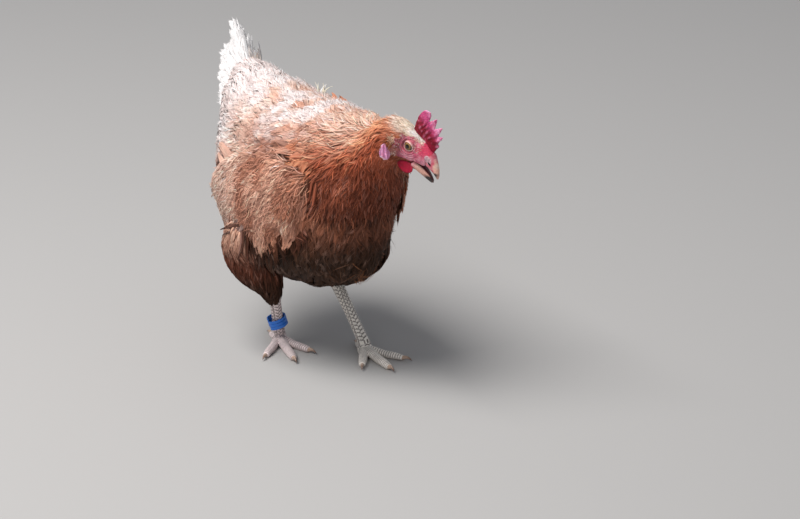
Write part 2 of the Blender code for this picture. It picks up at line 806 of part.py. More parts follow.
def claw(name, end, ahead, radius):
    """A blunt claw, curving from a toe's end to just above the floor."""
    root, side = end + ahead * CLAW_GAP, np.cross(ahead, (0, 0, 1))
    rings = []
    for share in np.arange(CLAW_RINGS) / CLAW_RINGS:
        rise = CLAW_ARCH * math.sin(math.pi * share) - CLAW_DROP * share**2
        size = radius * CLAW_ROOT * (1 - CLAW_TAPER * share)
        middle = root + ahead * CLAW_LENGTH * share + at(0, 0, rise)
        rings.append(oval(middle, side * size * CLAW_NARROW, at(0, 0, 1) * size, CLAW_SIDES))
    tip = root + ahead * CLAW_LENGTH + at(0, 0, -CLAW_DROP)
    return loft(name, rings, "claw_horn", pointed_end=tip)


def foot(leg, shank_cutter):
    """The pad and the toes round it, each kept clear of the shank, of the pad and of the middle toe."""
    pad_cutter = grown(foot_pad(leg))
    digits = {kind: toe(leg, kind) for kind in TOES}
    middle_cutter = grown(digits["middle"])
    for kind, digit in digits.items():
        boolean(digit, shank_cutter)
        boolean(digit, pad_cutter)
        if kind in ("inner", "outer"):
            boolean(digit, middle_cutter)


def turn_to(direction):
    """Columns of a frame whose third axis is direction."""
    third = unit(direction)
    first = unit(np.cross(third, (0, 1, 0)))
    return np.column_stack([first, np.cross(third, first), third])


def leg_ring(leg):
    """A loose spiral band of three turns, hanging aslant round the shank."""
    ankle, hock = at(*leg["ankle"]), at(*leg["hock"])
    along = unit(hock - ankle)
    middle = ankle + along * (RING_UP - ankle[2]) / along[2]
    frame = turn_to(at(*RING_AXIS))
    rings = []
    for turn in np.arange(RING_TURNS * RING_STEPS + 1) / RING_STEPS:
        angle = 2 * math.pi * turn
        out = frame @ np.array([math.cos(angle), math.sin(angle), 0])
        centre = middle + frame[:, 2] * RING_PITCH * (turn - RING_TURNS / 2) + out * RING_RADIUS
        corner, height = out * BAND_THICKNESS / 2, frame[:, 2] * BAND_HEIGHT / 2
        rings.append([centre + corner * a + height * b for a, b in BAND_SECTION])
    return loft("leg_ring", rings, "ring_plastic")


# ---------------------------------------------------------------- the whole hen


def stand_centred(objects):
    """Moves all meshes so that the hen's bounding box is centred on the origin, standing on the floor."""
    bpy.context.view_layer.update()
    graph = bpy.context.evaluated_depsgraph_get()
    corners = []
    for made in objects:
        if not made.hide_render:
            shown = made.evaluated_get(graph)
            mesh = shown.to_mesh()
            corners += [tuple(vertex.co) for vertex in mesh.vertices]
            shown.to_mesh_clear()
    corners = np.array(corners)
    low, high = corners.min(axis=0), corners.max(axis=0)
    shift = -(low + high) / 2
    shift[2] = -low[2]
    for made in objects:
        for vertex in made.data.vertices:
            vertex.co += type(vertex.co)(shift)


def main():
    for made in list(bpy.data.objects):
        bpy.data.objects.remove(made)
    body, throat, skull = trunk(), neck(), head()
    trunk_cutter, neck_cutter, head_cutter = grown(body), grown(throat), grown(skull)
    eyes()
    beak_half("beak_upper", UPPER_BEAK, UPPER_TIP)
    chin_cutter = grown(beak_half("beak_lower", LOWER_BEAK, LOWER_TIP))
    boolean(comb(), head_cutter)
    for lobe, side in itertools.product((EAR_LOBE, WATTLE), (-1, 1)):
        flap = lobe.build(side)
        for cutter in (head_cutter, neck_cutter, chin_cutter):
            boolean(flap, cutter)
    boolean(tail(), trunk_cutter)
    wing_cutters = [grown(wing.build()) for wing in (LEFT_WING, RIGHT_WING)]
    for leg, wing_cutter in ((LEFT_LEG, wing_cutters[0]), (RIGHT_LEG, wing_cutters[1])):
        upper = thigh(leg)
        upper_cutter = grown(upper)
        boolean(upper, trunk_cutter)
        boolean(upper, wing_cutter)
        lower = shank(leg)
        boolean(lower, upper_cutter)
        foot(leg, grown(lower))
    leg_ring(RIGHT_LEG)
    stand_centred(list(bpy.data.objects))


if __name__ == "__main__":
    main()
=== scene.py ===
"""The looks of a brown laying hen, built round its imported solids.

The hen faces -Y, its left side is +X and the floor is z = 0. Names ending in _mm and the fields of feathers
and parts are millimetres; every mesh is in metres. Surfaces are grids of points worked out with numpy as
whole arrays.
"""

import itertools
import json
import logging
import math
from collections.abc import Callable
from dataclasses import dataclass, field, replace
from enum import Enum

import bmesh
import bpy
import numpy as np
from mathutils import Matrix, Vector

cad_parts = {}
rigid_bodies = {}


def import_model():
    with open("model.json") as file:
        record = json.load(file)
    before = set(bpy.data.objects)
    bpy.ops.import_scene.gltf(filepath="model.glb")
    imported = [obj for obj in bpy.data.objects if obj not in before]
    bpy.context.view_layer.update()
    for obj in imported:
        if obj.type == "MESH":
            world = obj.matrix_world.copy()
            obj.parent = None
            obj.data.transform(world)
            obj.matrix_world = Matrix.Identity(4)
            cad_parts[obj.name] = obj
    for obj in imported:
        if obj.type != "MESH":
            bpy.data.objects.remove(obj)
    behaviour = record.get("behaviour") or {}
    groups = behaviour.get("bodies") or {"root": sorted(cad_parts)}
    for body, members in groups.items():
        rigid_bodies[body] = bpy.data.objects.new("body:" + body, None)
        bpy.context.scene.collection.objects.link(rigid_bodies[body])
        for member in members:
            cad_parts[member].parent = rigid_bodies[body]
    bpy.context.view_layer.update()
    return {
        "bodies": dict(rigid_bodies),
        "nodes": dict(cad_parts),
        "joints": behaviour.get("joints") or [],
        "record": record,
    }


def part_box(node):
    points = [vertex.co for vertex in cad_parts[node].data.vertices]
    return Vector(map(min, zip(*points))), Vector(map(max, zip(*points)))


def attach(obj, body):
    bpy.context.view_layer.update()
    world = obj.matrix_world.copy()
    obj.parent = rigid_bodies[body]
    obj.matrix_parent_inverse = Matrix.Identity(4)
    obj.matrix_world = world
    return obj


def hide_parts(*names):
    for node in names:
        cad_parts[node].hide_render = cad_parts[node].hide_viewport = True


LOG = logging.getLogger("hen")
MM = 0.001
BODY = "root"
HALF_PI = math.pi / 2
FULL_TURN = 2 * math.pi
# The greatest reflectance that a paled colour gets, and the breadth of a tuft's patch on the bake map
PALEST = 0.93
PATCH = 0.003
Array = np.ndarray
UP = np.array([0.0, 0.0, 1.0])


# ---------------------------------------------------------------- numbers and arrays


def unit(vectors: Array) -> Array:
    """Vectors scaled to a length of one."""
    return vectors / np.maximum(np.linalg.norm(vectors, axis=-1, keepdims=True), 1e-12)


def dot(a: Array, b: Array) -> Array:
    """Dot products of two arrays of vectors, keeping the last axis."""
    return (a * b).sum(axis=-1, keepdims=True)


def ease(low: float, high: float, value: Array) -> Array:
    """A cubic ramp: 0 up to low, 1 from high, and downwards where low is above high."""
    share = np.clip((value - low) / (high - low), 0.0, 1.0)
    return share * share * (3 - 2 * share)


def mix(a: Array, b: Array, share: Array) -> Array:
    """Goes from a to b as share goes from 0 to 1; share gets an axis for the colour channels."""
    return a + (b - a) * np.asarray(share)[..., None]


def washed(base: Array, like: Array, *layers: tuple[Array, Array | float]) -> Array:
    """A colour at every place, with other colours laid over it one after another, each by its share.

    Args:
        base: the first colour.
        like: one number for each place, for its shape.
        layers: pairs of a colour and its share.

    Returns:
        One colour for each place.
    """
    colour = np.broadcast_to(base, (*like.shape, 3))
    for over, share in layers:
        colour = mix(colour, over, share)
    return colour


def srgb(red: float, green: float, blue: float) -> Array:
    """A linear colour from one given in display values of 0 to 255."""
    shown = np.array([red, green, blue], float) / 255
    return np.where(shown <= 0.04045, shown / 12.92, ((shown + 0.055) / 1.055) ** 2.4)


def tone(red: float, green: float, blue: float) -> Array:
    """A dataclass field that holds a colour given in display values."""
    return field(default_factory=lambda: srgb(red, green, blue))


def around(count: int) -> Array:
    """Angles of a full turn in equal steps."""
    return np.linspace(0, FULL_TURN, count, endpoint=False)


def middle_of(node: str) -> Array:
    """The middle of a node's box."""
    return np.mean(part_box(node), axis=0)


def everywhere(places: Array, normals: Array) -> Array:
    """The chance of a feather where all of a surface bears them."""
    return np.ones(len(places))


def bell(distance: Array, width: float) -> Array:
    """A bump of height 1 that falls away over width: exp of minus the distance over width, squared."""
    return np.exp(-((distance / width) ** 2))


def flowing(rows: Array, spots: Array) -> Array:
    """Catmull-Rom values of a table at spots counted in rows."""
    padded = np.vstack([2 * rows[0] - rows[1], rows, 2 * rows[-1] - rows[-2]])
    low = np.clip(spots.astype(int), 0, len(rows) - 2)
    t = (spots - low)[:, None]
    a, b, c, d = (padded[low + k] for k in range(4))
    return 0.5 * (2 * b + (c - a) * t + (2 * a - 5 * b + 4 * c - d) * t**2 + (3 * b - a - 3 * c + d) * t**3)


def speckle(points: Array, size: float, seed: int = 0) -> Array:
    """Value noise from 0 to 1: hashed values on a lattice of cells, eased across each cell.

    Args:
        points: places in metres, with x, y, z on the last axis.
        size: length of a cell in metres.
        seed: picks another pattern.

    Returns:
        One value for each place.
    """
    spot = np.asarray(points, float) / size + 100.5
    cell = np.floor(spot).astype(np.int64)
    part = spot - cell
    part = part * part * (3 - 2 * part)
    total = np.zeros(spot.shape[:-1])
    for corner in itertools.product((0, 1), repeat=3):
        x, y, z = np.moveaxis(cell + np.array(corner), -1, 0)
        mixed = (x * 73856093) ^ (y * 19349663) ^ (z * 83492791) ^ (seed * 2654435761)
        mixed = ((mixed ^ (mixed >> 13)) * 1274126177) & 0xFFFFFF
        weight = np.where(np.array(corner) == 1, part, 1 - part).prod(axis=-1)
        total += weight * mixed / 0xFFFFFF
    return total


def blurred(values: Array, passes: int, periodic: bool) -> Array:
    """Averages a grid with its neighbours by weights 1, 2, 1 along both axes; columns may run round."""
    for _ in range(passes):
        rows = np.pad(values, ((1, 1), (0, 0)), mode="edge")
        values = (rows[:-2] + 2 * rows[1:-1] + rows[2:]) / 4
        columns = np.pad(values, ((0, 0), (1, 1)), mode="wrap" if periodic else "edge")
        values = (columns[:, :-2] + 2 * columns[:, 1:-1] + columns[:, 2:]) / 4
    return values


def mended(values: Array) -> Array:
    """Fills gaps in a grid from the rows before them, then from the rows after them."""
    for step in (1, 1, 1, 1, -1, -1, -1, -1):
        values = np.where(np.isnan(values), np.roll(values, step, axis=0), values)
    return np.where(np.isnan(values), np.nanmean(values), values)


# ---------------------------------------------------------------- finishes


def set_sockets(node: bpy.types.Node, values: dict[str, object]) -> None:
    """Sets a node's input sockets by name."""
    for name, value in values.items():
        node.inputs[name].default_value = value


class Grain(Enum):
    """What a finish's fine pattern follows."""

    BARBS = "barbs"
    PEBBLES = "pebbles"
    HORN = "horn"
    SMOOTH = "smooth"


@dataclass(frozen=True)
class Finish:
    """A finish: the piece's own tint, broken up by a fine pattern that also makes its relief."""

    name: str
    grain: Grain
    roughness: float
    size_mm: float = 1.0
    contrast: float = 0.25
    relief: float = 0.3
    gloss: float = 0.0
    flesh: float = 0.0
    mirror: float = 0.5
    coat_roughness: float = 0.12
    flesh_radius: tuple = (1.0, 0.35, 0.25)
    flesh_depth_mm: float = 3.0
    # Scale of the streaks across and along a feather's vane
    streaks: tuple = (26.0, 2.2, 1.0)

    def material(self) -> bpy.types.Material:
        """The material, made once."""
        found = bpy.data.materials.get(self.name)
        return found or self._build()

    def _build(self) -> bpy.types.Material:
        """Wires tint times pattern into the colour, and the pattern into a bump."""
        made = bpy.data.materials.new(self.name)
        made.use_nodes = True
        tree = made.node_tree
        join = tree.links.new
        shader = tree.nodes["Principled BSDF"]
        set_sockets(shader, {
            "Roughness": self.roughness, "Specular IOR Level": self.mirror, "Coat Weight": self.gloss,
            "Coat Roughness": self.coat_roughness, "Subsurface Weight": self.flesh,
            "Subsurface Radius": self.flesh_radius, "Subsurface Scale": self.flesh_depth_mm * MM,
        })
        tint = tree.nodes.new("ShaderNodeVertexColor")
        tint.layer_name = "tint"
        pattern = self._pattern(tree)
        ramp = tree.nodes.new("ShaderNodeMapRange")
        darkest, palest = 1 - self.contrast, 1 + self.contrast * 0.6
        set_sockets(ramp, {"From Min": 0.3, "From Max": 0.7, "To Min": darkest, "To Max": palest})
        join(pattern, ramp.inputs["Value"])
        product = tree.nodes.new("ShaderNodeVectorMath")
        product.operation = "SCALE"
        join(tint.outputs["Color"], product.inputs[0])
        join(ramp.outputs["Result"], product.inputs["Scale"])
        join(product.outputs["Vector"], shader.inputs["Base Color"])
        bump = tree.nodes.new("ShaderNodeBump")
        set_sockets(bump, {"Strength": self.relief, "Distance": self.size_mm * MM})
        join(pattern, bump.inputs["Height"])
        join(bump.outputs["Normal"], shader.inputs["Normal"])
        return made

    def _pattern(self, tree: bpy.types.NodeTree) -> bpy.types.NodeSocket:
        """The fine pattern from 0 to 1: streaks along each vane, pebbles, or layers of horn."""
        mapping = tree.nodes.new("ShaderNodeMapping")
        if self.grain is Grain.BARBS:
            source = tree.nodes.new("ShaderNodeUVMap")
            source.uv_map = "vane"
            tree.links.new(source.outputs["UV"], mapping.inputs["Vector"])
            set_sockets(mapping, {"Scale": self.streaks})
            scale = 1.0
        else:
            source = tree.nodes.new("ShaderNodeTexCoord")
            tree.links.new(source.outputs["Object"], mapping.inputs["Vector"])
            scale = 1 / (self.size_mm * MM)
        if self.grain is Grain.PEBBLES:
            made = tree.nodes.new("ShaderNodeTexVoronoi")
            made.feature = "SMOOTH_F1"
            set_sockets(made, {"Smoothness": 0.6})
            output = "Distance"
        else:
            made = tree.nodes.new("ShaderNodeTexNoise")
            set_sockets(made, {"Detail": 3.0})
            output = "Fac"
        set_sockets(made, {"Scale": scale})
        tree.links.new(mapping.outputs["Vector"], made.inputs["Vector"])
        return made.outputs[output]


FEATHER = Finish("feather_barbs", Grain.BARBS, 0.62, size_mm=0.6, contrast=0.36, relief=0.6, mirror=0.12)
DOWN = Finish(
    "down_and_skin", Grain.HORN, 0.75, size_mm=1.6, contrast=0.2, relief=0.4, flesh=0.1, mirror=0.15,
)
FACE = Finish(
    "bare_face", Grain.PEBBLES, 0.45, size_mm=0.8, contrast=0.3, relief=0.5, flesh=0.25, gloss=0.06,
    mirror=0.3,
)
COMB = Finish(
    "comb_and_wattles", Grain.PEBBLES, 0.45, size_mm=0.75, contrast=0.2, relief=0.5, flesh=0.3, gloss=0.06,
    mirror=0.25,
)
LOBE = Finish(
    "ear_lobe_skin", Grain.PEBBLES, 0.4, size_mm=1.1, contrast=0.12, relief=0.35, flesh=0.3, gloss=0.1,
)
HORN = Finish("beak_and_claw_horn", Grain.HORN, 0.32, size_mm=1.4, contrast=0.16, relief=0.15, gloss=0.25)
SCUTES = Finish("leg_scutes", Grain.HORN, 0.42, size_mm=0.9, contrast=0.22, relief=0.25, gloss=0.1)
EYE = Finish("wet_eye", Grain.SMOOTH, 0.16, size_mm=0.5, contrast=0.1, relief=0.02, gloss=0.35, mirror=0.3)
PLASTIC = Finish(
    "ring_plastic", Grain.SMOOTH, 0.4, size_mm=2.5, contrast=0.08, relief=0.06, gloss=0.12, mirror=0.25,
)


# ---------------------------------------------------------------- meshes


def grid_faces(rows: int, columns: int, periodic: bool = False, flip: bool = False) -> Array:
    """Quads over a grid numbered row by row; with periodic its last column joins the first."""
    last = columns if periodic else columns - 1
    row, column = np.meshgrid(np.arange(rows - 1), np.arange(last), indexing="ij")
    here, there = row * columns + column, row * columns + (column + 1) % columns
    faces = np.stack([here, here + columns, there + columns, there], axis=-1).reshape(-1, 4)
    return faces[:, ::-1] if flip else faces


def show(
    name: str, points: Array, faces: list[Array], tint: Array, finish: Finish,
    maps: dict[str, Array] | None = None, stands_for: tuple[str, ...] = (),
) -> bpy.types.Object:
    """Makes one shown piece, which rides on the hen's single body.

    Args:
        name: the piece's name.
        points: its points in metres, in any grid shape with x, y, z last.
        faces: arrays of quads or triangles as point numbers.
        tint: one linear colour for each point.
        finish: its finish.
        maps: UV maps by name, as one pair for each point.
        stands_for: the nodes that it replaces.

    Returns:
        The object, at the origin.
    """
    mesh = bpy.data.meshes.new(name)
    flat = np.ascontiguousarray(points.reshape(-1, 3), np.float32)
    mesh.vertices.add(len(flat))
    mesh.vertices.foreach_set("co", flat.ravel())
    corners = np.concatenate([np.asarray(part).ravel() for part in faces]).astype(np.int32)
    sizes = np.concatenate([np.full(len(part), part.shape[1]) for part in faces])
    mesh.loops.add(len(corners))
    mesh.loops.foreach_set("vertex_index", corners)
    mesh.polygons.add(len(sizes))
    mesh.polygons.foreach_set("loop_start", (np.cumsum(sizes) - sizes).astype(np.int32))
    for map_name, pairs in (maps or {}).items():
        layer = mesh.uv_layers.new(name=map_name)
        layer.data.foreach_set("uv", pairs.reshape(-1, 2)[corners].astype(np.float32).ravel())
    paint(mesh, tint.reshape(-1, 3))
    mesh.update(calc_edges=True)
    mesh.shade_smooth()
    return register(bpy.data.objects.new(name, mesh), finish, stands_for)


def paint(mesh: bpy.types.Mesh, tint: Array) -> None:
    """Writes one linear colour for each point as the mesh's tint."""
    layer = mesh.color_attributes.get("tint") or mesh.color_attributes.new("tint", "FLOAT_COLOR", "POINT")
    colours = np.ones((len(mesh.vertices), 4), np.float32)
    colours[:, :3] = np.clip(tint, 0.0, 1.0)
    layer.data.foreach_set("color", colours.ravel())


def linked(name: str, data: bpy.types.ID) -> bpy.types.Object:
    """A new object in the scene."""
    made = bpy.data.objects.new(name, data)
    bpy.context.scene.collection.objects.link(made)
    return made


def worked_out(source: bpy.types.Object, name: str) -> bpy.types.Object:
    """A new object, not yet in the scene, with the mesh that an object's modifiers give."""
    graph = bpy.context.evaluated_depsgraph_get()
    mesh = bpy.data.meshes.new_from_object(source.evaluated_get(graph))
    mesh.shade_smooth()
    mesh.name = name
    return bpy.data.objects.new(name, mesh)


def register(
    made: bpy.types.Object, finish: Finish, stands_for: tuple[str, ...] = ()
) -> bpy.types.Object:
    """Links, finishes and attaches a piece, hides the nodes that it stands for, and logs its triangles."""
    if made.name not in bpy.context.scene.collection.objects:
        bpy.context.scene.collection.objects.link(made)
    made.data.materials.clear()
    made.data.materials.append(finish.material())
    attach(made, BODY)
    if stands_for:
        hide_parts(*stands_for)
    made.data.calc_loop_triangles()
    LOG.info("%-24s %7d triangles", made.name, len(made.data.loop_triangles))
    return made


def read_triples(items: object, key: str, kind: type = np.float32) -> Array:
    """One row of three numbers for each of a mesh's points or triangles."""
    flat = np.empty(len(items) * 3, kind)
    items.foreach_get(key, flat)
    return flat.reshape(-1, 3)


def points_of(mesh: bpy.types.Mesh) -> Array:
    """A mesh's points."""
    return read_triples(mesh.vertices, "co").astype(float)


def normals_of(mesh: bpy.types.Mesh) -> Array:
    """A mesh's point normals."""
    return read_triples(mesh.vertices, "normal").astype(float)


def set_points(mesh: bpy.types.Mesh, points: Array) -> None:
    """Moves a mesh's points."""
    mesh.vertices.foreach_set("co", points.astype(np.float32).ravel())
    mesh.update()


def node_mesh(name: str) -> tuple[Array, Array]:
    """A node's points in metres and its triangles."""
    mesh = bpy.data.objects[name].data
    mesh.calc_loop_triangles()
    return points_of(mesh), read_triples(mesh.loop_triangles, "vertices", np.int32)


def fused(
    name: str, nodes: tuple[str, ...], voxel_mm: float, grow_mm: float, soften: int
) -> bpy.types.Object:
    """One smooth closed object from merged copies of nodes.

    Args:
        name: the new object's name.
        nodes: the nodes to join.
        voxel_mm: the cell of the even mesh that takes their place.
        grow_mm: how far each copy swells first, to close the gaps between them.
        soften: how many times each point moves to its neighbours' average.

    Returns:
        The object, not yet finished or linked.
    """
    work = bmesh.new()
    for node in nodes:
        work.from_mesh(bpy.data.objects[node].data)
    bmesh.ops.remove_doubles(work, verts=work.verts, dist=1e-6)
    work.normal_update()
    for vertex in work.verts if grow_mm else ():
        vertex.co += vertex.normal * (grow_mm * MM)
    mesh = bpy.data.meshes.new(name)
    work.to_mesh(mesh)
    work.free()
    source = linked(name + "_source", mesh)
    remesh = source.modifiers.new("Even", "REMESH")
    remesh.mode = "VOXEL"
    remesh.voxel_size = voxel_mm * MM
    if soften:
        smooth = source.modifiers.new("Soften", "SMOOTH")
        smooth.factor = 0.5
        smooth.iterations = soften
    made = worked_out(source, name)
    bpy.data.objects.remove(source)
    return made


# ---------------------------------------------------------------- surfaces read from the solids


class Caster:
    """Finds where rays leave the solids of some nodes."""

    CHUNK = 1200

    def __init__(self, *nodes: str) -> None:
        """Prepares each triangle's plane and the two gradients of its barycentric coordinates."""
        corners = [points[faces] / MM for points, faces in map(node_mesh, nodes)]
        a, b, c = np.moveaxis(np.concatenate(corners), 1, 0)
        first, second = b - a, c - a
        normal = np.cross(first, second)
        square = (normal**2).sum(axis=1)
        good = square > 1e-12
        a, first, second, normal = a[good], first[good], second[good], normal[good]
        square = square[good][:, None]
        up, vp = np.cross(second, normal) / square, np.cross(normal, first) / square
        self.planes = [part.T.astype(np.float32) for part in (normal, up, vp)]
        self.offsets = [(a * part).sum(axis=1).astype(np.float32) for part in (normal, up, vp)]

    def leave(self, origins: Array, directions: Array) -> Array:
        """How far along each ray its last crossing is, in metres, and NaN where it crosses nothing."""
        shape = directions.shape[:-1]
        origins = np.broadcast_to(origins, directions.shape).reshape(-1, 3)
        origins = origins.astype(np.float32) / np.float32(MM)
        directions = directions.reshape(-1, 3).astype(np.float32)
        found = [
            self._leave(origins[k : k + self.CHUNK], directions[k : k + self.CHUNK])
            for k in range(0, len(origins), self.CHUNK)
        ]
        return np.concatenate(found).reshape(shape) * MM

    def _leave(self, origins: Array, directions: Array) -> Array:
        """The farthest crossing of one batch of rays, tested against every triangle at once."""
        (normal, up, vp), (height, u0, v0) = self.planes, self.offsets
        with np.errstate(divide="ignore", invalid="ignore"):
            reach = (height - origins @ normal) / (directions @ normal)
            u = origins @ up - u0 + reach * (directions @ up)
            v = origins @ vp - v0 + reach * (directions @ vp)
            hit = (u > -1e-4) & (v > -1e-4) & (u + v < 1.0002) & (reach > 0)
        far = np.where(hit, reach, -1.0).max(axis=1)
        return np.where(far > 0, far, np.nan)


@dataclass
class Pelt:
    """A surface as a grid of points: rows along the body part, columns round or across it."""

    points: Array
    periodic: bool
    along: Array = field(init=False)
    around: Array = field(init=False)
    normal: Array = field(init=False)

    def __post_init__(self) -> None:
        """Works out both tangents, per grid step, and the outward normal."""
        self.along = np.gradient(self.points, axis=0)
        if self.periodic:
            ahead, behind = np.roll(self.points, -1, axis=1), np.roll(self.points, 1, axis=1)
            self.around = (ahead - behind) / 2
        else:
            self.around = np.gradient(self.points, axis=1)
        self.normal = unit(np.cross(self.along, self.around))

    @property
    def shape(self) -> tuple[int, int]:
        """Rows and columns."""
        return self.points.shape[:2]

    def read(self, values: Array, i: Array, j: Array) -> Array:
        """Values of a grid between its points, blended from the four nearest."""
        rows, columns = self.shape
        i = np.clip(i, 0, rows - 1.001)
        j = np.mod(j, columns) if self.periodic else np.clip(j, 0, columns - 1.001)
        a, b = i.astype(int), j.astype(int)
        u, v = (i - a)[..., None], (j - b)[..., None]
        beside = (b + 1) % columns
        near = values[a, b] * (1 - v) + values[a, beside] * v
        far = values[a + 1, b] * (1 - v) + values[a + 1, beside] * v
        return near * (1 - u) + far * u

    def place(self, i: Array, j: Array) -> Array:
        """Points of the surface, carried on in a straight line past its ends."""
        rows, columns = self.shape
        past_i = i - np.clip(i, 0, rows - 1.001)
        found = self.read(self.points, i, j) + self.read(self.along, i, j) * past_i[..., None]
        if not self.periodic:
            past_j = j - np.clip(j, 0, columns - 1.001)
            found = found + self.read(self.around, i, j) * past_j[..., None]
        return found

    def upright(self, i: Array, j: Array) -> Array:
        """Unit normals between the grid's points."""
        return unit(self.read(self.normal, i, j))

    def headings(self, i: Array, j: Array, lie: "Lie") -> tuple[Array, Array, Array]:
        """Places, their normals, and the lie of the coat there, levelled onto the surface."""
        places, normals = self.place(i, j), self.upright(i, j)
        way = lie(places, normals, unit(self.read(self.along, i, j)))
        return places, normals, unit(way - normals * dot(way, normals))

    def move(self, i: Array, j: Array, way: Array) -> tuple[Array, Array]:
        """Grid steps that carry a point by way, from the least-squares fit of way to the two tangents."""
        a, b = self.read(self.along, i, j), self.read(self.around, i, j)
        aa, ab, bb = dot(a, a)[..., 0], dot(a, b)[..., 0], dot(b, b)[..., 0]
        wa, wb = dot(way, a)[..., 0], dot(way, b)[..., 0]
        scale = np.maximum(aa * bb - ab * ab, 1e-16)
        return (wa * bb - wb * ab) / scale, (wb * aa - wa * ab) / scale

    def nearest(self, place: Array) -> tuple[float, float]:
        """The grid place of the point nearest to a place."""
        away = np.linalg.norm(self.points - place, axis=-1)
        i, j = np.unravel_index(away.argmin(), away.shape)
        return float(i), float(j)

    def unwrap(self, i: Array, j: Array) -> Array:
        """Places on the flat unwrap, where rows run up and columns across."""
        rows, columns = self.shape
        across = np.mod(j, columns) / columns if self.periodic else np.clip(j / columns, 0, 1)
        return np.stack([0.02 + 0.96 * across, 0.02 + 0.96 * np.clip(i / rows, 0, 1)], axis=-1)

    def roots(
        self, along_mm: float, around_mm: float, chance: Callable[[Array, Array], Array],
        rng: np.random.Generator,
    ) -> tuple[Array, Array]:
        """Places for feathers, in rows a set distance apart, each row shifted half a step from the last.

        Args:
            along_mm: distance between rows where they are widest apart.
            around_mm: distance between feathers of a row.
            chance: gives, for places and normals, the share of feathers that grow there.
            rng: the source of the small random shifts.

        Returns:
            Grid rows and columns of the roots.
        """
        rows, columns = self.shape
        steps = np.linalg.norm(np.diff(self.points, axis=0), axis=-1)
        reach = np.concatenate([[0], np.cumsum(np.quantile(steps, 0.9, axis=1))])
        lines = np.interp(np.arange(0, reach[-1], along_mm * MM), reach, np.arange(rows))
        gaps = np.gradient(lines)
        found_i, found_j = [], []
        for number, (line, gap) in enumerate(zip(lines, gaps, strict=True)):
            edge = np.arange(columns + 1 if self.periodic else columns, dtype=float)
            ring = self.place(np.full(len(edge), line), edge)
            length = np.concatenate([[0], np.cumsum(np.linalg.norm(np.diff(ring, axis=0), axis=-1))])
            count = int(length[-1] / (around_mm * MM))
            if count < 3:
                continue
            spots = (np.arange(count) + 0.5 * (number % 2) + rng.uniform(-0.28, 0.28, count)) / count
            j = np.interp(np.mod(spots, 1.0) * length[-1], length, edge)
            i = line + rng.uniform(-0.3, 0.3, count) * gap
            local = np.linalg.norm(self.read(self.along, i, j), axis=-1) * gap / (along_mm * MM)
            share = chance(self.place(i, j), self.upright(i, j)) * np.minimum(local, 1.0)
            keep = rng.random(count) < share
            found_i.append(i[keep])
            found_j.append(j[keep])
        return np.concatenate(found_i), np.concatenate(found_j)


# ---------------------------------------------------------------- feathers


class Outline(Enum):
    """Half breadth of a vane at six places from its root to its tip, as shares of the greatest."""

    ROUND = (0.40, 0.80, 0.98, 1.00, 0.84, 0.52)
    POINTED = (0.55, 0.95, 1.00, 0.78, 0.46, 0.10)
    STRAP = (0.45, 0.78, 0.92, 1.00, 0.86, 0.30)


@dataclass(frozen=True)
class Vane:
    """The make of one kind of feather, in millimetres.

    A vane is a grid of columns, which are its locks of barbs, and rows from root to tip. Its columns are
    pleated so that the locks show, its root is under the plumage's surface and its frayed tip lies on top.
    """

    length: float
    width: float
    outline: Outline = Outline.ROUND
    depth: float = 4.5
    lift: float = 0.4
    rows: int = 6
    columns: int = 11
    pleat: float = 0.3
    fringe: float = 0.13
    cup: float = 0.7
    unruly: float = 0.16
    wave: float = 0.0
    pale: float = 0.25
    shaft: float = 0.0
    variety: float = 0.16
    # Brightness at the root: painted shade on the part of each feather that those above cover
    dark: float = 0.46
    bleach: float = 0.15
    streak: float = 0.13
    swirl: float = 0.35
    mottle: float = 0.22


# Hair-like feathers, of two or three columns without pleats
HAIR = Vane(
    16, 0.8, Outline.POINTED, depth=1.2, lift=1.2, columns=2, pleat=0.0, fringe=0.0, cup=0.0, unruly=0.2,
    wave=0.2, pale=0.0, variety=0.3, dark=0.8, bleach=0.3,
)
BRISTLE = replace(
    HAIR, length=3.6, width=0.5, depth=0.3, lift=0.4, rows=4, columns=3, cup=0.05, unruly=0.35, wave=0.0,
    pale=0.2, variety=0.2, bleach=0.15,
)
STRAND = replace(
    HAIR, length=30, width=1.3, depth=1.5, lift=1.5, rows=8, columns=3, cup=0.1, unruly=0.25, wave=0.3,
    pale=0.1, variety=0.2, bleach=0.15,
)
LOCK = replace(STRAND, length=20, width=1.4, depth=1.2, lift=1.0, rows=7, unruly=0.12, wave=0.2)
SPIKE = Vane(
    12, 2.2, Outline.POINTED, depth=1.0, lift=1.0, rows=7, columns=5, unruly=0.35, variety=0.1, dark=0.8,
)
EAR_TUFT = Vane(
    5, 0.9, Outline.POINTED, depth=0.6, lift=1.0, rows=5, columns=3, pleat=0.0, unruly=0.4, dark=0.95,
    bleach=0.0, mottle=0.1,
)
COVERT = Vane(
    40, 10, depth=2.6, wave=0.2, pale=0.3, shaft=0.3, rows=8, columns=9, variety=0.24, bleach=0.22,
    streak=0.14, fringe=0.16, unruly=0.1, mottle=0.6,
)
SLIM_COVERT = Vane(
    38, 5, Outline.POINTED, depth=2.4, lift=1.2, wave=0.3, pale=0.3, shaft=0.4, rows=8, columns=5,
    variety=0.24, bleach=0.3, dark=0.32, unruly=0.14,
)


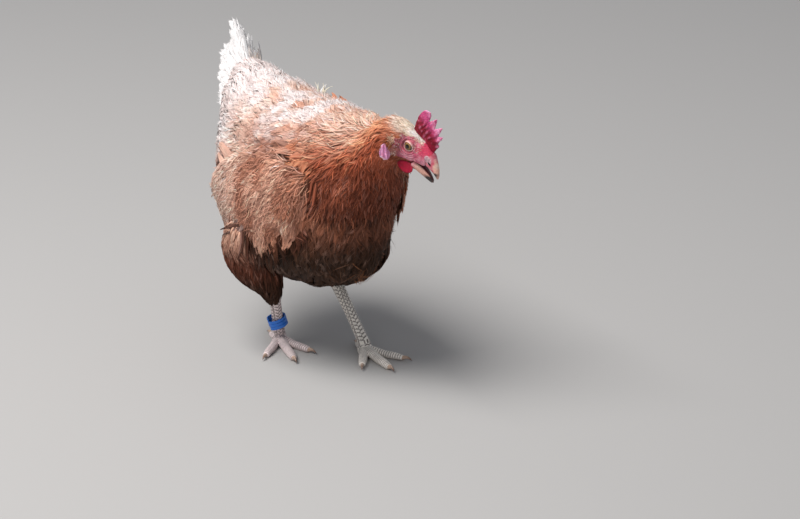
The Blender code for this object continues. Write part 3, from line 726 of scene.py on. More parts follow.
@dataclass
class Coat:
    """Feathers gathered for one piece: their points, tints and two maps."""

    points: list[Array] = field(default_factory=list)
    tints: list[Array] = field(default_factory=list)
    vanes: list[Array] = field(default_factory=list)
    bakes: list[Array] = field(default_factory=list)
    faces: list[Array] = field(default_factory=list)
    count: int = 0

    def add(self, points: Array, tint: Array, vane: Array, bake: Array) -> None:
        """Adds feathers that share one grid: arrays with axes feather, row, column, value."""
        feathers, rows, columns = points.shape[:3]
        pattern = grid_faces(rows, columns)
        starts = self.count + np.arange(feathers)[:, None, None] * rows * columns
        self.faces.append((pattern[None] + starts).reshape(-1, 4))
        stores = (self.points, self.tints, self.vanes, self.bakes)
        for store, values in zip(stores, (points, tint, vane, bake), strict=True):
            store.append(values.reshape(-1, values.shape[-1]))
        self.count += feathers * rows * columns

    def build(self, name: str, slot: str, stands_for: tuple[str, ...] = ()) -> bpy.types.Object:
        """Makes the piece."""
        maps = {"OFBake": np.concatenate(self.bakes), "vane": np.concatenate(self.vanes)}
        points, tint = np.concatenate(self.points), np.concatenate(self.tints)
        return show(name, points, [np.concatenate(self.faces)], tint, FEATHER, maps, stands_for)


# The lie of a coat, from places, normals and the surface's own way; and a colour, from places and normals
Lie = Callable[[Array, Array, Array], Array]
Colour = Callable[[Array, Array], Array]
# How far below a surface a ray starts that looks for what covers it, in metres
PROBE_DEPTH = 0.020


def lay(
    coat: Coat, pelt: Pelt, i: Array, j: Array, vane: Vane, lie: Lie, colour: Colour,
    rng: np.random.Generator, length: Array | float = 1.0, rise: Array | float = 0.0,
) -> None:
    """Grows feathers on a surface and adds them to a coat.

    Each shaft is walked over the surface in equal steps along the lie of the coat. The columns lie beside it
    on the surface, and the whole vane stands off along the normal: from minus depth at the root to plus lift
    at the tip, less a cup towards the edges, plus the pleats.

    Args:
        coat: takes the feathers.
        pelt: the surface.
        i, j: grid places of the roots.
        vane: the kind of feather.
        lie: the direction in which feathers lie, from place, normal and the surface's own forward direction.
        colour: the markings, from place and normal.
        rng: the source of variety.
        length: factor on the vane's length, for all or each.
        rise: extra millimetres that the tips stand off, for all or each.
    """
    count = len(i)
    if not count:
        return
    length = vane.length * MM * np.broadcast_to(length, count) * rng.uniform(0.85, 1.12, count)
    turn = rng.normal(0.0, vane.unruly, count)
    curl = rng.normal(0.0, vane.unruly * 0.5, count)
    step = length / (vane.rows - 1)
    root = pelt.unwrap(i, j)
    u, v = np.linspace(-1, 1, vane.columns), np.linspace(0, 1, vane.rows)
    odd = np.arange(vane.columns) % 2
    breadth = np.interp(v, np.linspace(0, 1, 6), vane.outline.value) * vane.width / 2 * MM
    ragged = 1 + rng.uniform(-0.16, 0.10, (count, vane.rows, 2))
    jag = rng.uniform(0.2, 1.0, (count, vane.columns)) * np.where(odd, 1.0, -0.35)
    places, normals, headings = [], [], []
    for k in range(vane.rows):
        place, normal, way = pelt.headings(i, j, lie)
        side = np.cross(normal, way)
        drift = vane.swirl * (2 * speckle(place, 0.021, 93) - 1)
        angle = (turn + drift + curl * k + vane.wave * math.sin(4.2 * v[k]) * np.sign(turn))[:, None]
        way = way * np.cos(angle) + side * np.sin(angle)
        side = np.cross(normal, way)
        reach = u[None] * breadth[k]
        reach = reach * np.where(u[None] < 0, ragged[:, k, :1], ragged[:, k, 1:])
        spread = side[:, None] * reach[..., None]
        shaft_i, shaft_j = (np.repeat(part[:, None], vane.columns, 1) for part in (i, j))
        beside_i, beside_j = pelt.move(shaft_i, shaft_j, spread)
        at_i, at_j = shaft_i + beside_i, shaft_j + beside_j
        places.append(pelt.place(at_i, at_j))
        normals.append(pelt.upright(at_i, at_j))
        headings.append(np.repeat(way[:, None], vane.columns, 1))
        move_i, move_j = pelt.move(i, j, way * step[:, None])
        i, j = i + move_i, j + move_j
    points, normals, headings = (np.stack(part, axis=1) for part in (places, normals, headings))
    ride = rng.uniform(-0.25, 0.35, count)[:, None, None]
    row, column = v[None, :, None], u[None, None, :]
    stand = -vane.depth * (1 - row) ** 1.4 + (vane.lift + ride + np.reshape(rise, (-1, 1, 1))) * row**1.5
    stand = stand - vane.cup * column**2 * ease(0.1, 0.6, row)
    stand = stand + vane.pleat * np.where(odd, 1.0, -1.0) * ease(0.1, 0.7, row)
    tip = ease(0.55, 1.0, row)
    shift = (vane.fringe * jag[:, None, :] - 0.13 * column**2 * (vane.outline is Outline.ROUND)) * tip
    points = points + normals * (stand * MM)[..., None]
    points = points + headings * (shift * length[:, None, None])[..., None]
    seen = min(vane.rows - 1, int(0.7 * vane.rows))
    middle = vane.columns // 2
    base = colour(points[:, seen, middle], normals[:, seen, middle])
    groups = 1 + vane.mottle * 2 * (speckle(points[:, 0, middle], 0.010, 95) - 0.5)
    base = base * np.exp(vane.variety * rng.normal(0, 1, (count, 1))) * groups[:, None]
    faded = (rng.random(count) < vane.bleach) * rng.uniform(0.25, 0.8, count)
    base = mix(base, np.minimum(base * 1.5 + [0.10, 0.07, 0.06], PALEST), faded)
    streaks = rng.normal(0, 1, (count, 1, vane.columns))
    locks = 1 + vane.streak * streaks + 0.10 * np.cos(math.pi * np.arange(vane.columns))
    shade = (vane.dark + (1 - vane.dark) * ease(0.1, 0.8, row)) * locks
    edge = np.clip(tip * 0.6 + 0.5 * column**2, 0, 1) * vane.pale
    line = bell(column, 0.3) * vane.shaft
    tint = base[:, None, None, :] * shade[..., None]
    edge_colour, line_colour = np.minimum(base * 1.7 + 0.03, PALEST), np.minimum(base * 2.4 + 0.04, 0.9)
    for paler, share in ((edge_colour, edge), (line_colour, line)):
        tint = mix(tint, paler[:, None, None, :], np.broadcast_to(share, shade.shape))
    own = rng.uniform(0, 40, (count, 1, 1, 2))
    flat = np.stack(np.broadcast_arrays((column + 1) / 2, row), axis=-1)
    coat.add(points, tint, own + flat, root[:, None, None, :] + (flat - 0.5) * PATCH)


def climb(
    pelt: Pelt, i: Array, j: Array, lie: Lie, length: float, obstacle: "Caster", most: float
) -> tuple[Array, Array]:
    """How far feather tips have to rise to lie over another body part.

    Args:
        pelt: the surface that the feathers grow on.
        i, j: grid places of the roots.
        lie: the direction in which feathers lie.
        length: the feathers' length in millimetres.
        obstacle: the body part.
        most: the greatest rise that still looks laid down.

    Returns:
        The rise of each in millimetres, and which of them stay under the greatest.
    """
    places, normals, way = pelt.headings(i, j, lie)
    rise = np.zeros(len(i))
    for share in (0.55, 0.8, 1.0):
        start = places + way * length * share * MM - PROBE_DEPTH * normals
        over = (obstacle.leave(start, normals) - PROBE_DEPTH) / MM
        rise = np.maximum(rise, np.where(np.isnan(over), 0.0, over) / share**1.5)
    return rise, rise < most


# ---------------------------------------------------------------- the hen's own directions and markings


def along_left_up(places: Array) -> tuple[Array, Array, Array]:
    """Forward, left and up of places, in millimetres."""
    return -places[..., 1] / MM, places[..., 0] / MM, places[..., 2] / MM


@dataclass
class HeadFrame:
    """The head's own axes, read from where the eyes are."""

    turn_left: float = 20.0
    pitch_down: float = 26.0
    eye_up: float = -1.5
    forward: Array = field(init=False)
    up: Array = field(init=False)
    right: Array = field(init=False)
    origin: Array = field(init=False)
    eye_radius: float = field(init=False)

    def __post_init__(self) -> None:
        """Turns forward to the left, then pitches it down; the eyes' middle gives the origin."""
        turn, pitch = math.radians(self.turn_left), math.radians(self.pitch_down)
        level = np.array([math.sin(turn), -math.cos(turn), 0.0])
        self.forward = level * math.cos(pitch) - np.array([0, 0, math.sin(pitch)])
        self.up = level * math.sin(pitch) + np.array([0, 0, math.cos(pitch)])
        self.right = np.cross(self.forward, self.up)
        boxes = [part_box("eye_left"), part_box("eye_right")]
        middle = np.mean([np.array(corner) for box in boxes for corner in box], axis=0)
        self.origin = middle - self.up * self.eye_up * MM
        low, high = (np.array(corner) for corner in boxes[0])
        self.eye_radius = float((high - low).mean() / 2 / MM)

    def at(self, forward: Array, up: Array, right: Array) -> Array:
        """Places given along the head's axes in millimetres."""
        parts = ((forward, self.forward), (up, self.up), (right, self.right))
        return self.origin + sum(np.asarray(size, float)[..., None] * axis for size, axis in parts) * MM

    def read(self, places: Array) -> tuple[Array, Array, Array]:
        """Forward, up and right of places along the head's axes, in millimetres."""
        offset = (places - self.origin) / MM
        return offset @ self.forward, offset @ self.up, offset @ self.right


@dataclass
class Markings:
    """The hen's colours, by place and by where the surface faces. Skin and feathers share them."""

    head: HeadFrame
    cream: Array = tone(236, 216, 212)
    white: Array = tone(254, 251, 250)
    pink_buff: Array = tone(224, 184, 168)
    buff: Array = tone(202, 150, 128)
    ginger: Array = tone(194, 120, 88)
    tan: Array = tone(166, 108, 84)
    chestnut: Array = tone(166, 82, 54)
    brown: Array = tone(104, 54, 36)
    umber: Array = tone(47, 29, 15)
    straw: Array = tone(250, 216, 186)
    crown: Array = tone(254, 240, 234)
    pale_hair: Array = tone(240, 204, 190)
    rusty_hair: Array = tone(156, 92, 66)
    tail_buff: Array = tone(226, 190, 164)
    fluff: Array = tone(236, 212, 204)

    def plumage(self, places: Array, normals: Array) -> Array:
        """Bleached cream along back and tail, buff wings, ginger shoulders, chestnut neck and breast, darker
        below partly as painted shade.
        """
        forward, _, up = along_left_up(places)
        blotch = speckle(places, 0.024, 3) * 0.5 + speckle(places, 0.010, 5) * 0.5
        top = ease(0.35, 0.95, normals[..., 2] + 0.5 * (blotch - 0.5))
        front = ease(70, 96, forward) * ease(262, 225, up)
        # The brown and umber that grow towards the bottom are partly darker plumage and partly painted shade
        # under the body
        flank = washed(
            self.tan, forward,
            (self.brown, 0.75 * ease(190, 122, up)),
            (self.pink_buff, ease(-15, -70, forward) * ease(185, 225, up) * 0.7),
            (self.ginger, ease(10, 55, forward) * ease(130, 215, up) * 0.8),
            (self.chestnut, ease(60, 90, forward) * ease(170, 215, up)),
            (self.brown, front * 0.62),
            (self.umber, ease(186 + 16 * ease(40, 70, forward), 128, up) * 0.94),
        )
        bleached = ease(0.26, 0.62, blotch + 0.3 * (normals[..., 2] - 0.85))
        back = washed(
            self.buff, forward,
            (self.pink_buff, ease(0.1, 0.4, blotch)),
            (self.cream, bleached * 0.95),
            (self.ginger, 0.75 * ease(10, 90, forward)),
        )
        rear = ease(-78, -125, forward) * ease(165, 222, up + 26 * (blotch - 0.5))
        return washed(
            flank, forward,
            (back, top * ease(180, 235, up)),
            (self.cream, rear * 0.85),
            (self.buff, ease(-60, -125, forward) * ease(200, 170, up) * 0.5),
        )

    def neck(self, places: Array, normals: Array) -> Array:
        """Cream on the crown, ginger on the nape, chestnut at the sides and dark under the throat, partly as
        painted shade.
        """
        f, u, _ = self.head.read(places)
        _, _, up = along_left_up(places)
        # The brown and umber lower down the neck are partly darker feathers and partly painted shade
        side = washed(
            self.chestnut, f, (self.brown, ease(266, 215, up) * 0.85),
            (self.umber, ease(212, 150, up) * 0.92),
        )
        pale = 0.55 * ease(0.0, 0.8, normals[..., 2]) * ease(-45, -70, f)
        nape = washed(self.ginger, f, (self.pink_buff, pale))
        brow = bell(u - 6.6 + 0.1 * np.clip(-f, 0, 20), 1.3) * ease(-20, -14, f) * ease(8, 4, f)
        cheek = ease(-26, -18, f) * ease(-2, -8, u) * ease(-34, -26, u)
        return washed(
            side, f,
            (nape, ease(0.05, 0.75, normals[..., 2])),
            (self.pink_buff, ease(-56, -32, f) * ease(-1, 6, u) * 0.9),
            (self.straw, ease(-40, -18, f) * ease(3, 8, u) * 0.8),
            (self.crown, ease(-16, -4, f) * ease(5, 10, u) * 0.95),
            (self.tan, 0.6 * brow),
            (self.brown, 0.7 * cheek),
        )

    def bristle(self, places: Array, normals: Array) -> Array:
        """Pale and rusty hairs on the bare face."""
        return washed(
            self.pale_hair, places[..., 0], (self.rusty_hair, ease(0.42, 0.58, speckle(places, 0.0016, 29)))
        )

    def tail(self, places: Array, normals: Array) -> Array:
        """White, with a buff cast near the root."""
        forward, left, up = along_left_up(places)
        cast = ease(-132, -108, forward) * 0.6 + 0.12 * speckle(places, 0.02, 9)
        patch = bell(forward + 154, 16) * bell(up - 272, 16) * ease(2, 10, left)
        return washed(self.white, forward, (self.pink_buff, cast), (self.tail_buff, patch * 0.85))

    def wing(self, places: Array, normals: Array) -> Array:
        """Buff and tan, paler above and towards the tips."""
        forward, _, up = along_left_up(places)
        blotch = speckle(places, 0.018, 11)
        return washed(
            self.tan * 0.9, forward,
            (self.buff, ease(0.4, 0.65, blotch) * 0.75),
            (self.pink_buff, ease(225, 256, up) * 0.6),
            (self.pink_buff, ease(-20, -80, forward) * 0.5),
            (self.tan * 0.8, ease(10, 50, forward) * ease(215, 185, up) * 0.25),
        )

    def fringe(self, places: Array, normals: Array) -> Array:
        """Tan fluff below the wing, darker further down and in front; the darkening further down is partly
        painted shade.
        """
        forward, _, up = along_left_up(places)
        return washed(
            self.buff, forward,
            (self.tan, ease(-50, -10, forward)),
            # The brown in front is the feathers' own; the darkening further down is partly painted shade
            # under the wing
            (self.brown, np.maximum(ease(170, 135, up), ease(5, 45, forward)) * 0.9),
            (self.umber, ease(175, 130, up) * ease(-25, 5, forward) * 0.8),
            (self.fluff, bell(forward + 38, 10) * ease(190, 165, up) * ease(115, 130, up) * 0.45),
        )

    def thigh(self, places: Array, normals: Array) -> Array:
        """Warm brown, darker below, partly as painted shade under the body."""
        forward, _, up = along_left_up(places)
        return washed(
            self.buff * 0.85, forward,
            (self.brown, ease(135, 95, up)),
            (self.umber, np.maximum(ease(-40, -5, forward), ease(105, 65, up)) * 0.85),
        )


# ---------------------------------------------------------------- trunk, neck and head as one skin


def ring_frames(rows: Array) -> tuple[Array, Array, Array]:
    """Centres, up axes and left axes of cross-sections.

    Args:
        rows: forward, left and up of each centre in millimetres, then how far its plane leans forward and
            how far it turns left, in degrees.

    Returns:
        Centres in metres, and unit vectors.
    """
    lean, turn = np.radians(rows[:, 3:4]), np.radians(rows[:, 4:5])
    nothing = np.zeros_like(turn)
    ahead = np.hstack([np.sin(turn), -np.cos(turn), nothing])
    left = np.hstack([np.cos(turn), np.sin(turn), nothing])
    up = ahead * np.sin(lean) + UP * np.cos(lean)
    return np.stack([rows[:, 1], -rows[:, 0], rows[:, 2]], axis=1) * MM, up, left


def closing_fans(rows: int, columns: int) -> list[Array]:
    """Triangles that close a periodic grid at both ends; the two end points are numbered after the grid."""
    column = np.arange(columns)
    beside = (column + 1) % columns
    first, last = rows * columns, (rows - 1) * columns
    near = np.stack([np.full(columns, first), column, beside], axis=1)
    far = np.stack([np.full(columns, first + 1), last + beside, last + column], axis=1)
    return [near, far]


def closed_tube(points: Array) -> tuple[Array, list[Array]]:
    """Points and faces of a periodic grid closed at both ends."""
    rows, columns = points.shape[:2]
    ends = np.stack([points[0].mean(axis=0), points[-1].mean(axis=0)])
    faces = [grid_faces(rows, columns, periodic=True), *closing_fans(rows, columns)]
    return np.vstack([points.reshape(-1, 3), ends]), faces


def plain_object(name: str, points: Array, faces: list[Array]) -> bpy.types.Object:
    """A bare linked object for use in a Boolean."""
    mesh = bpy.data.meshes.new(name)
    mesh.from_pydata(points.tolist(), [], [face for part in faces for face in part.tolist()])
    return linked(name, mesh)


def united(name: str, first: bpy.types.Object, others: list[bpy.types.Object]) -> bpy.types.Object:
    """The union of closed objects as one new object; the sources are removed."""
    for other in others:
        join = first.modifiers.new("Join", "BOOLEAN")
        join.operation = "UNION"
        join.solver = "MANIFOLD"
        join.object = other
    made = worked_out(first, name)
    for source in (first, *others):
        bpy.data.objects.remove(source)
    return made


@dataclass
class Face:
    """The bare face: where it is, its folds and its colours, in the head's own millimetres."""

    head: HeadFrame
    fold_spacing: float = 2.1
    fold_height: float = 0.42
    pebble_height: float = 0.36
    eye_opening: float = 7.0
    sunk: float = 2.4
    flesh: Array = tone(204, 92, 120)
    pale: Array = tone(246, 190, 200)
    crimson: Array = tone(214, 46, 84)
    # Painted shade, in the troughs of the folds and under the throat
    crease_shade: Array = tone(112, 36, 48)
    dusk: Array = tone(104, 36, 46)
    tawny: Array = tone(190, 128, 112)

    def bare(self, places: Array) -> Array:
        """1 on bare skin: below a line from the ear to the comb, above the jaw, and all of the front."""
        f, u, _ = self.head.read(places)
        top = 6.0 - 0.10 * np.clip(-f, 0, 20)
        below_brow = np.maximum(ease(0.9, -0.9, u - top), ease(8.5, 11.5, f))
        jaw = np.interp(f, [-20, -9, 0, 8, 24], [-21.5, -21, -18, -16.5, -17])
        wander = 4.0 * (speckle(places, 0.0035, 27) - 0.5)
        rear = -13.0 - 7.0 * ease(0.0, -5.0, u)
        return below_brow * ease(-1.0, 0.8, u - jaw + 0.4 * wander) * ease(-0.9, 0.9, f - rear + wander)

    def folds(self, places: Array) -> Array:
        """Height of the wrinkles round the eye, which ripple outwards from the lids below and behind it."""
        f, u, _ = self.head.read(places)
        out = np.hypot(f, u - self.head.eye_up)
        wander = 1.6 * speckle(places, 0.004, 21)
        ripple = np.cos(FULL_TURN * (out + wander) / self.fold_spacing)
        behind = ease(12, -2, f + 0.8 * (u + 1.5))
        return ripple * ease(6.2, 7.6, out) * ease(17, 11, out) * behind

    def relief(self, places: Array) -> Array:
        """Millimetres that bare skin stands out: folds and pebbles, and sunk away under the lids."""
        f, u, _ = self.head.read(places)
        out = np.hypot(f, u - self.head.eye_up)
        pebbles = speckle(places, 0.0014, 23) - 0.5
        rough = ease(4, 14, f) * 0.6 + 0.4
        return (
            self.fold_height * self.folds(places) + self.pebble_height * pebbles * rough
            - self.sunk * ease(self.eye_opening + 0.6, self.eye_opening - 1.2, out)
        )

    def tint(self, places: Array) -> Array:
        """Magenta flesh, paler on fold crests as painted highlight and darker in creases as painted shade,
        crimson in front of and above the eye.
        """
        f, u, _ = self.head.read(places)
        crest = self.folds(places)
        blotch = speckle(places, 0.0022, 25)
        front = ease(6, 14, f) * ease(-6, 2, u)
        return washed(
            self.flesh, f,
            # Painted highlight on the fold crests and painted shade in the troughs, each mixed with a random
            # blotch
            (self.pale, np.clip(0.45 * crest + blotch - 0.45, 0, 1)),
            (self.crease_shade, np.clip(-0.55 * crest + 0.35 * (0.5 - blotch), 0, 1)),
            (self.crimson, front * (0.55 + 0.45 * blotch)),
            (self.dusk, ease(1, -9, f) * (0.5 + 0.5 * blotch)),
            (self.tawny, ease(-5, -12, f) * ease(-8, -14, u) * (0.3 + 0.5 * blotch)),
            (self.pale, bell(u + 12.5, 3.5) * ease(-6, 2, f) * ease(16, 8, f) * 0.4),
            (self.pale, ease(14, 22, f) * ease(-2, -7, u) * 0.5),
        )


@dataclass
class Body:
    """Trunk, neck and head: one smooth surface, the skin under it and the feathers of its tracts."""

    head: HeadFrame
    marks: Markings
    face: Face
    columns: int = 192
    cap_rows: int = 20
    clump_height: float = 9.0
    tuck: float = 6.5
    # Forward, left, up, lean and turn of the middle line, from the rump to the end of the neck
    trunk_line: tuple = (
        (-138, 1.4, 236, 5, 0),
        (-114, 1.4, 202, 6, 0),
        (-55, 1.4, 184, 2, 0),
        (-10, 1.4, 182, 0, 0),
        (28, 2.4, 186, -2, 0),
        (60, 2.4, 195, -5, 0),
        (82, 3.4, 211, -6, 3),
        (98, 4.4, 230, -5.5, 7),
        (110, 5.4, 247, -5, 11),
        (120, 7.4, 262, -5, 15),
        (128, 10.4, 273, -4, 19),
    )
    # The head's middle line along its own axes: forward, up and lean
    head_line: tuple = (
        (-18, -11.8, -22),
        (-11.5, -8.5, -19),
        (-4, -6.4, -13),
        (3.5, -6.0, -5),
        (10, -5.9, 0),
        (16.5, -6.1, 2),
        (22.5, -6.0, 3),
    )
    rows_between: tuple = (10, 15, 11, 9, 8, 7, 12, 10, 9, 7, 14, 12, 14, 15, 13, 13, 12)
    pelt: Pelt = field(init=False)
    depth: Array = field(init=False)

    def __post_init__(self) -> None:
        """Casts rays from the middle line to the outside of the solids, and eases the facets away."""
        head_rows = [self._head_row(*row) for row in self.head_line]
        table = np.array([*self.trunk_line, *head_rows], float)
        between = [start + np.arange(count) / count for start, count in enumerate(self.rows_between)]
        spots = np.concatenate([*between, [len(table) - 1]])
        rows = flowing(table, spots)
        centres, up, left = ring_frames(rows)
        angle = around(self.columns)[None, :, None]
        round_about = up[:, None] * np.cos(angle) + left[:, None] * np.sin(angle)
        tilt = np.linspace(0.97 * HALF_PI, 0, self.cap_rows, endpoint=False)[:, None, None]
        behind = -np.cross(left[0], up[0])
        cap = round_about[:1] * np.cos(tilt) + behind * np.sin(tilt)
        ways = np.concatenate([cap, round_about])
        origins = np.concatenate([np.repeat(centres[:1], self.cap_rows, axis=0), centres])[:, None]
        reach = Caster("trunk", "neck", "head", "eye_left", "eye_right").leave(origins, ways)
        reach = blurred(mended(reach), 4, periodic=True)
        points = origins + ways * reach[..., None]
        f, u, _ = self.head.read(points)
        clumps = 0.6 * speckle(points, 0.024, 81) + 0.4 * speckle(points, 0.012, 83) - 0.5
        swell = self.clump_height * clumps * np.maximum(ease(-34, -60, f), ease(-40, -60, u)) * MM
        forward, left, height = along_left_up(points)
        swell = swell - self.tuck * ease(15, 45, left) * ease(32, 60, forward) * ease(222, 180, height) * MM
        self.pelt = Pelt(points + ways * swell[..., None], periodic=True)
        station = np.concatenate([np.zeros(self.cap_rows), spots])
        deep = np.interp(station, [0, 6, 8, 10, 11.5, 17], [5.5, 5.5, 4.0, 2.6, 1.1, 0.7])
        self.depth = np.broadcast_to(deep[:, None], reach.shape)

    def _head_row(self, forward: float, up: float, lean: float) -> tuple[float, ...]:
        """A head section as a row of the trunk's table."""
        place = self.head.at(np.array(forward), np.array(up), np.array(0.0))
        ahead, left, height = along_left_up(place)
        return float(ahead), float(left), float(height), lean + self.head.pitch_down, self.head.turn_left

    def skin_points(self) -> Array:
        """The skin: the plumage's surface less the coat's depth, with the face's relief where it is bare."""
        bare = self.face.bare(self.pelt.points)
        stand = -self.depth * (1 - bare) + self.face.relief(self.pelt.points) * np.maximum(bare, 0.0)
        return self.pelt.points + self.pelt.normal * (stand * MM)[..., None]

    def skin_tint(self, places: Array, normals: Array) -> Array:
        """The face's colours on bare skin, and plumage colours darkened by painted shade under the feathers
        and under the throat.
        """
        forward, _, up = along_left_up(places)
        on_neck = ease(78, 90, forward) * ease(205, 225, up)
        under = mix(self.marks.plumage(places, normals), self.marks.neck(places, normals), on_neck)
        f, u, _ = self.head.read(places)
        # Painted shade on the skin between the feathers: darkest where it neither faces up nor lies high,
        # lighter on the head
        shade = 0.5 + 0.3 * np.maximum(ease(0.3, 0.9, normals[..., 2]), ease(190, 230, up))
        under = under * np.maximum(shade, 0.85 * ease(-30, -22, f))[..., None]
        # Painted shadow under the head: the throat's skin is drawn towards the dark crease colour
        throat = ease(-14, -6, f) * ease(-13, -17, u)
        under = mix(under, self.face.crease_shade, throat * 0.7)
        return mix(under, self.face.tint(places), self.face.bare(places))

    def build_skin(self, thighs: list["Thigh"]) -> None:
        """Joins the body's and the thighs' skins into one closed mesh."""
        body = plain_object("skin_body", *closed_tube(self.skin_points()))
        limbs = [plain_object("skin_limb", *closed_tube(thigh.skin_points())) for thigh in thighs]
        skin = united("skin", body, limbs)
        places, normals = points_of(skin.data), normals_of(skin.data)
        paint(skin.data, self.skin_tint(places, normals))
        nodes = ("trunk", "neck", "head", *(thigh.node for thigh in thighs))
        register(skin, FACE, nodes)


def inward_shell(pelt: Pelt, outer_mm: float, inner_mm: float) -> tuple[Array, list[Array]]:
    """A thin closed plate that follows a surface, between two depths below it.

    Args:
        pelt: the surface, as an open grid.
        outer_mm: depth of its outer face.
        inner_mm: depth of its inner face.

    Returns:
        Points and faces.
    """
    rows, columns = pelt.shape
    top = pelt.points - pelt.normal * outer_mm * MM
    low = pelt.points - pelt.normal * inner_mm * MM
    size = rows * columns
    grid = grid_faces(rows, columns)
    number = np.arange(size).reshape(rows, columns)
    rim = np.concatenate([number[:, 0], number[-1, 1:], number[-2::-1, -1], number[0, -2:0:-1]])
    after = np.roll(rim, -1)
    wall = np.stack([after, rim, rim + size, after + size], axis=1)
    return np.concatenate([top.reshape(-1, 3), low.reshape(-1, 3)]), [grid, grid[:, ::-1] + size, wall]


def grid_facing(points: Array, away_from: Array) -> Pelt:
    """An open surface whose columns run the way that turns its normals away from a point."""
    pelt = Pelt(points, periodic=False)
    if (dot(pelt.normal, points - away_from)).sum() < 0:
        pelt = Pelt(points[:, ::-1], periodic=False)
    return pelt


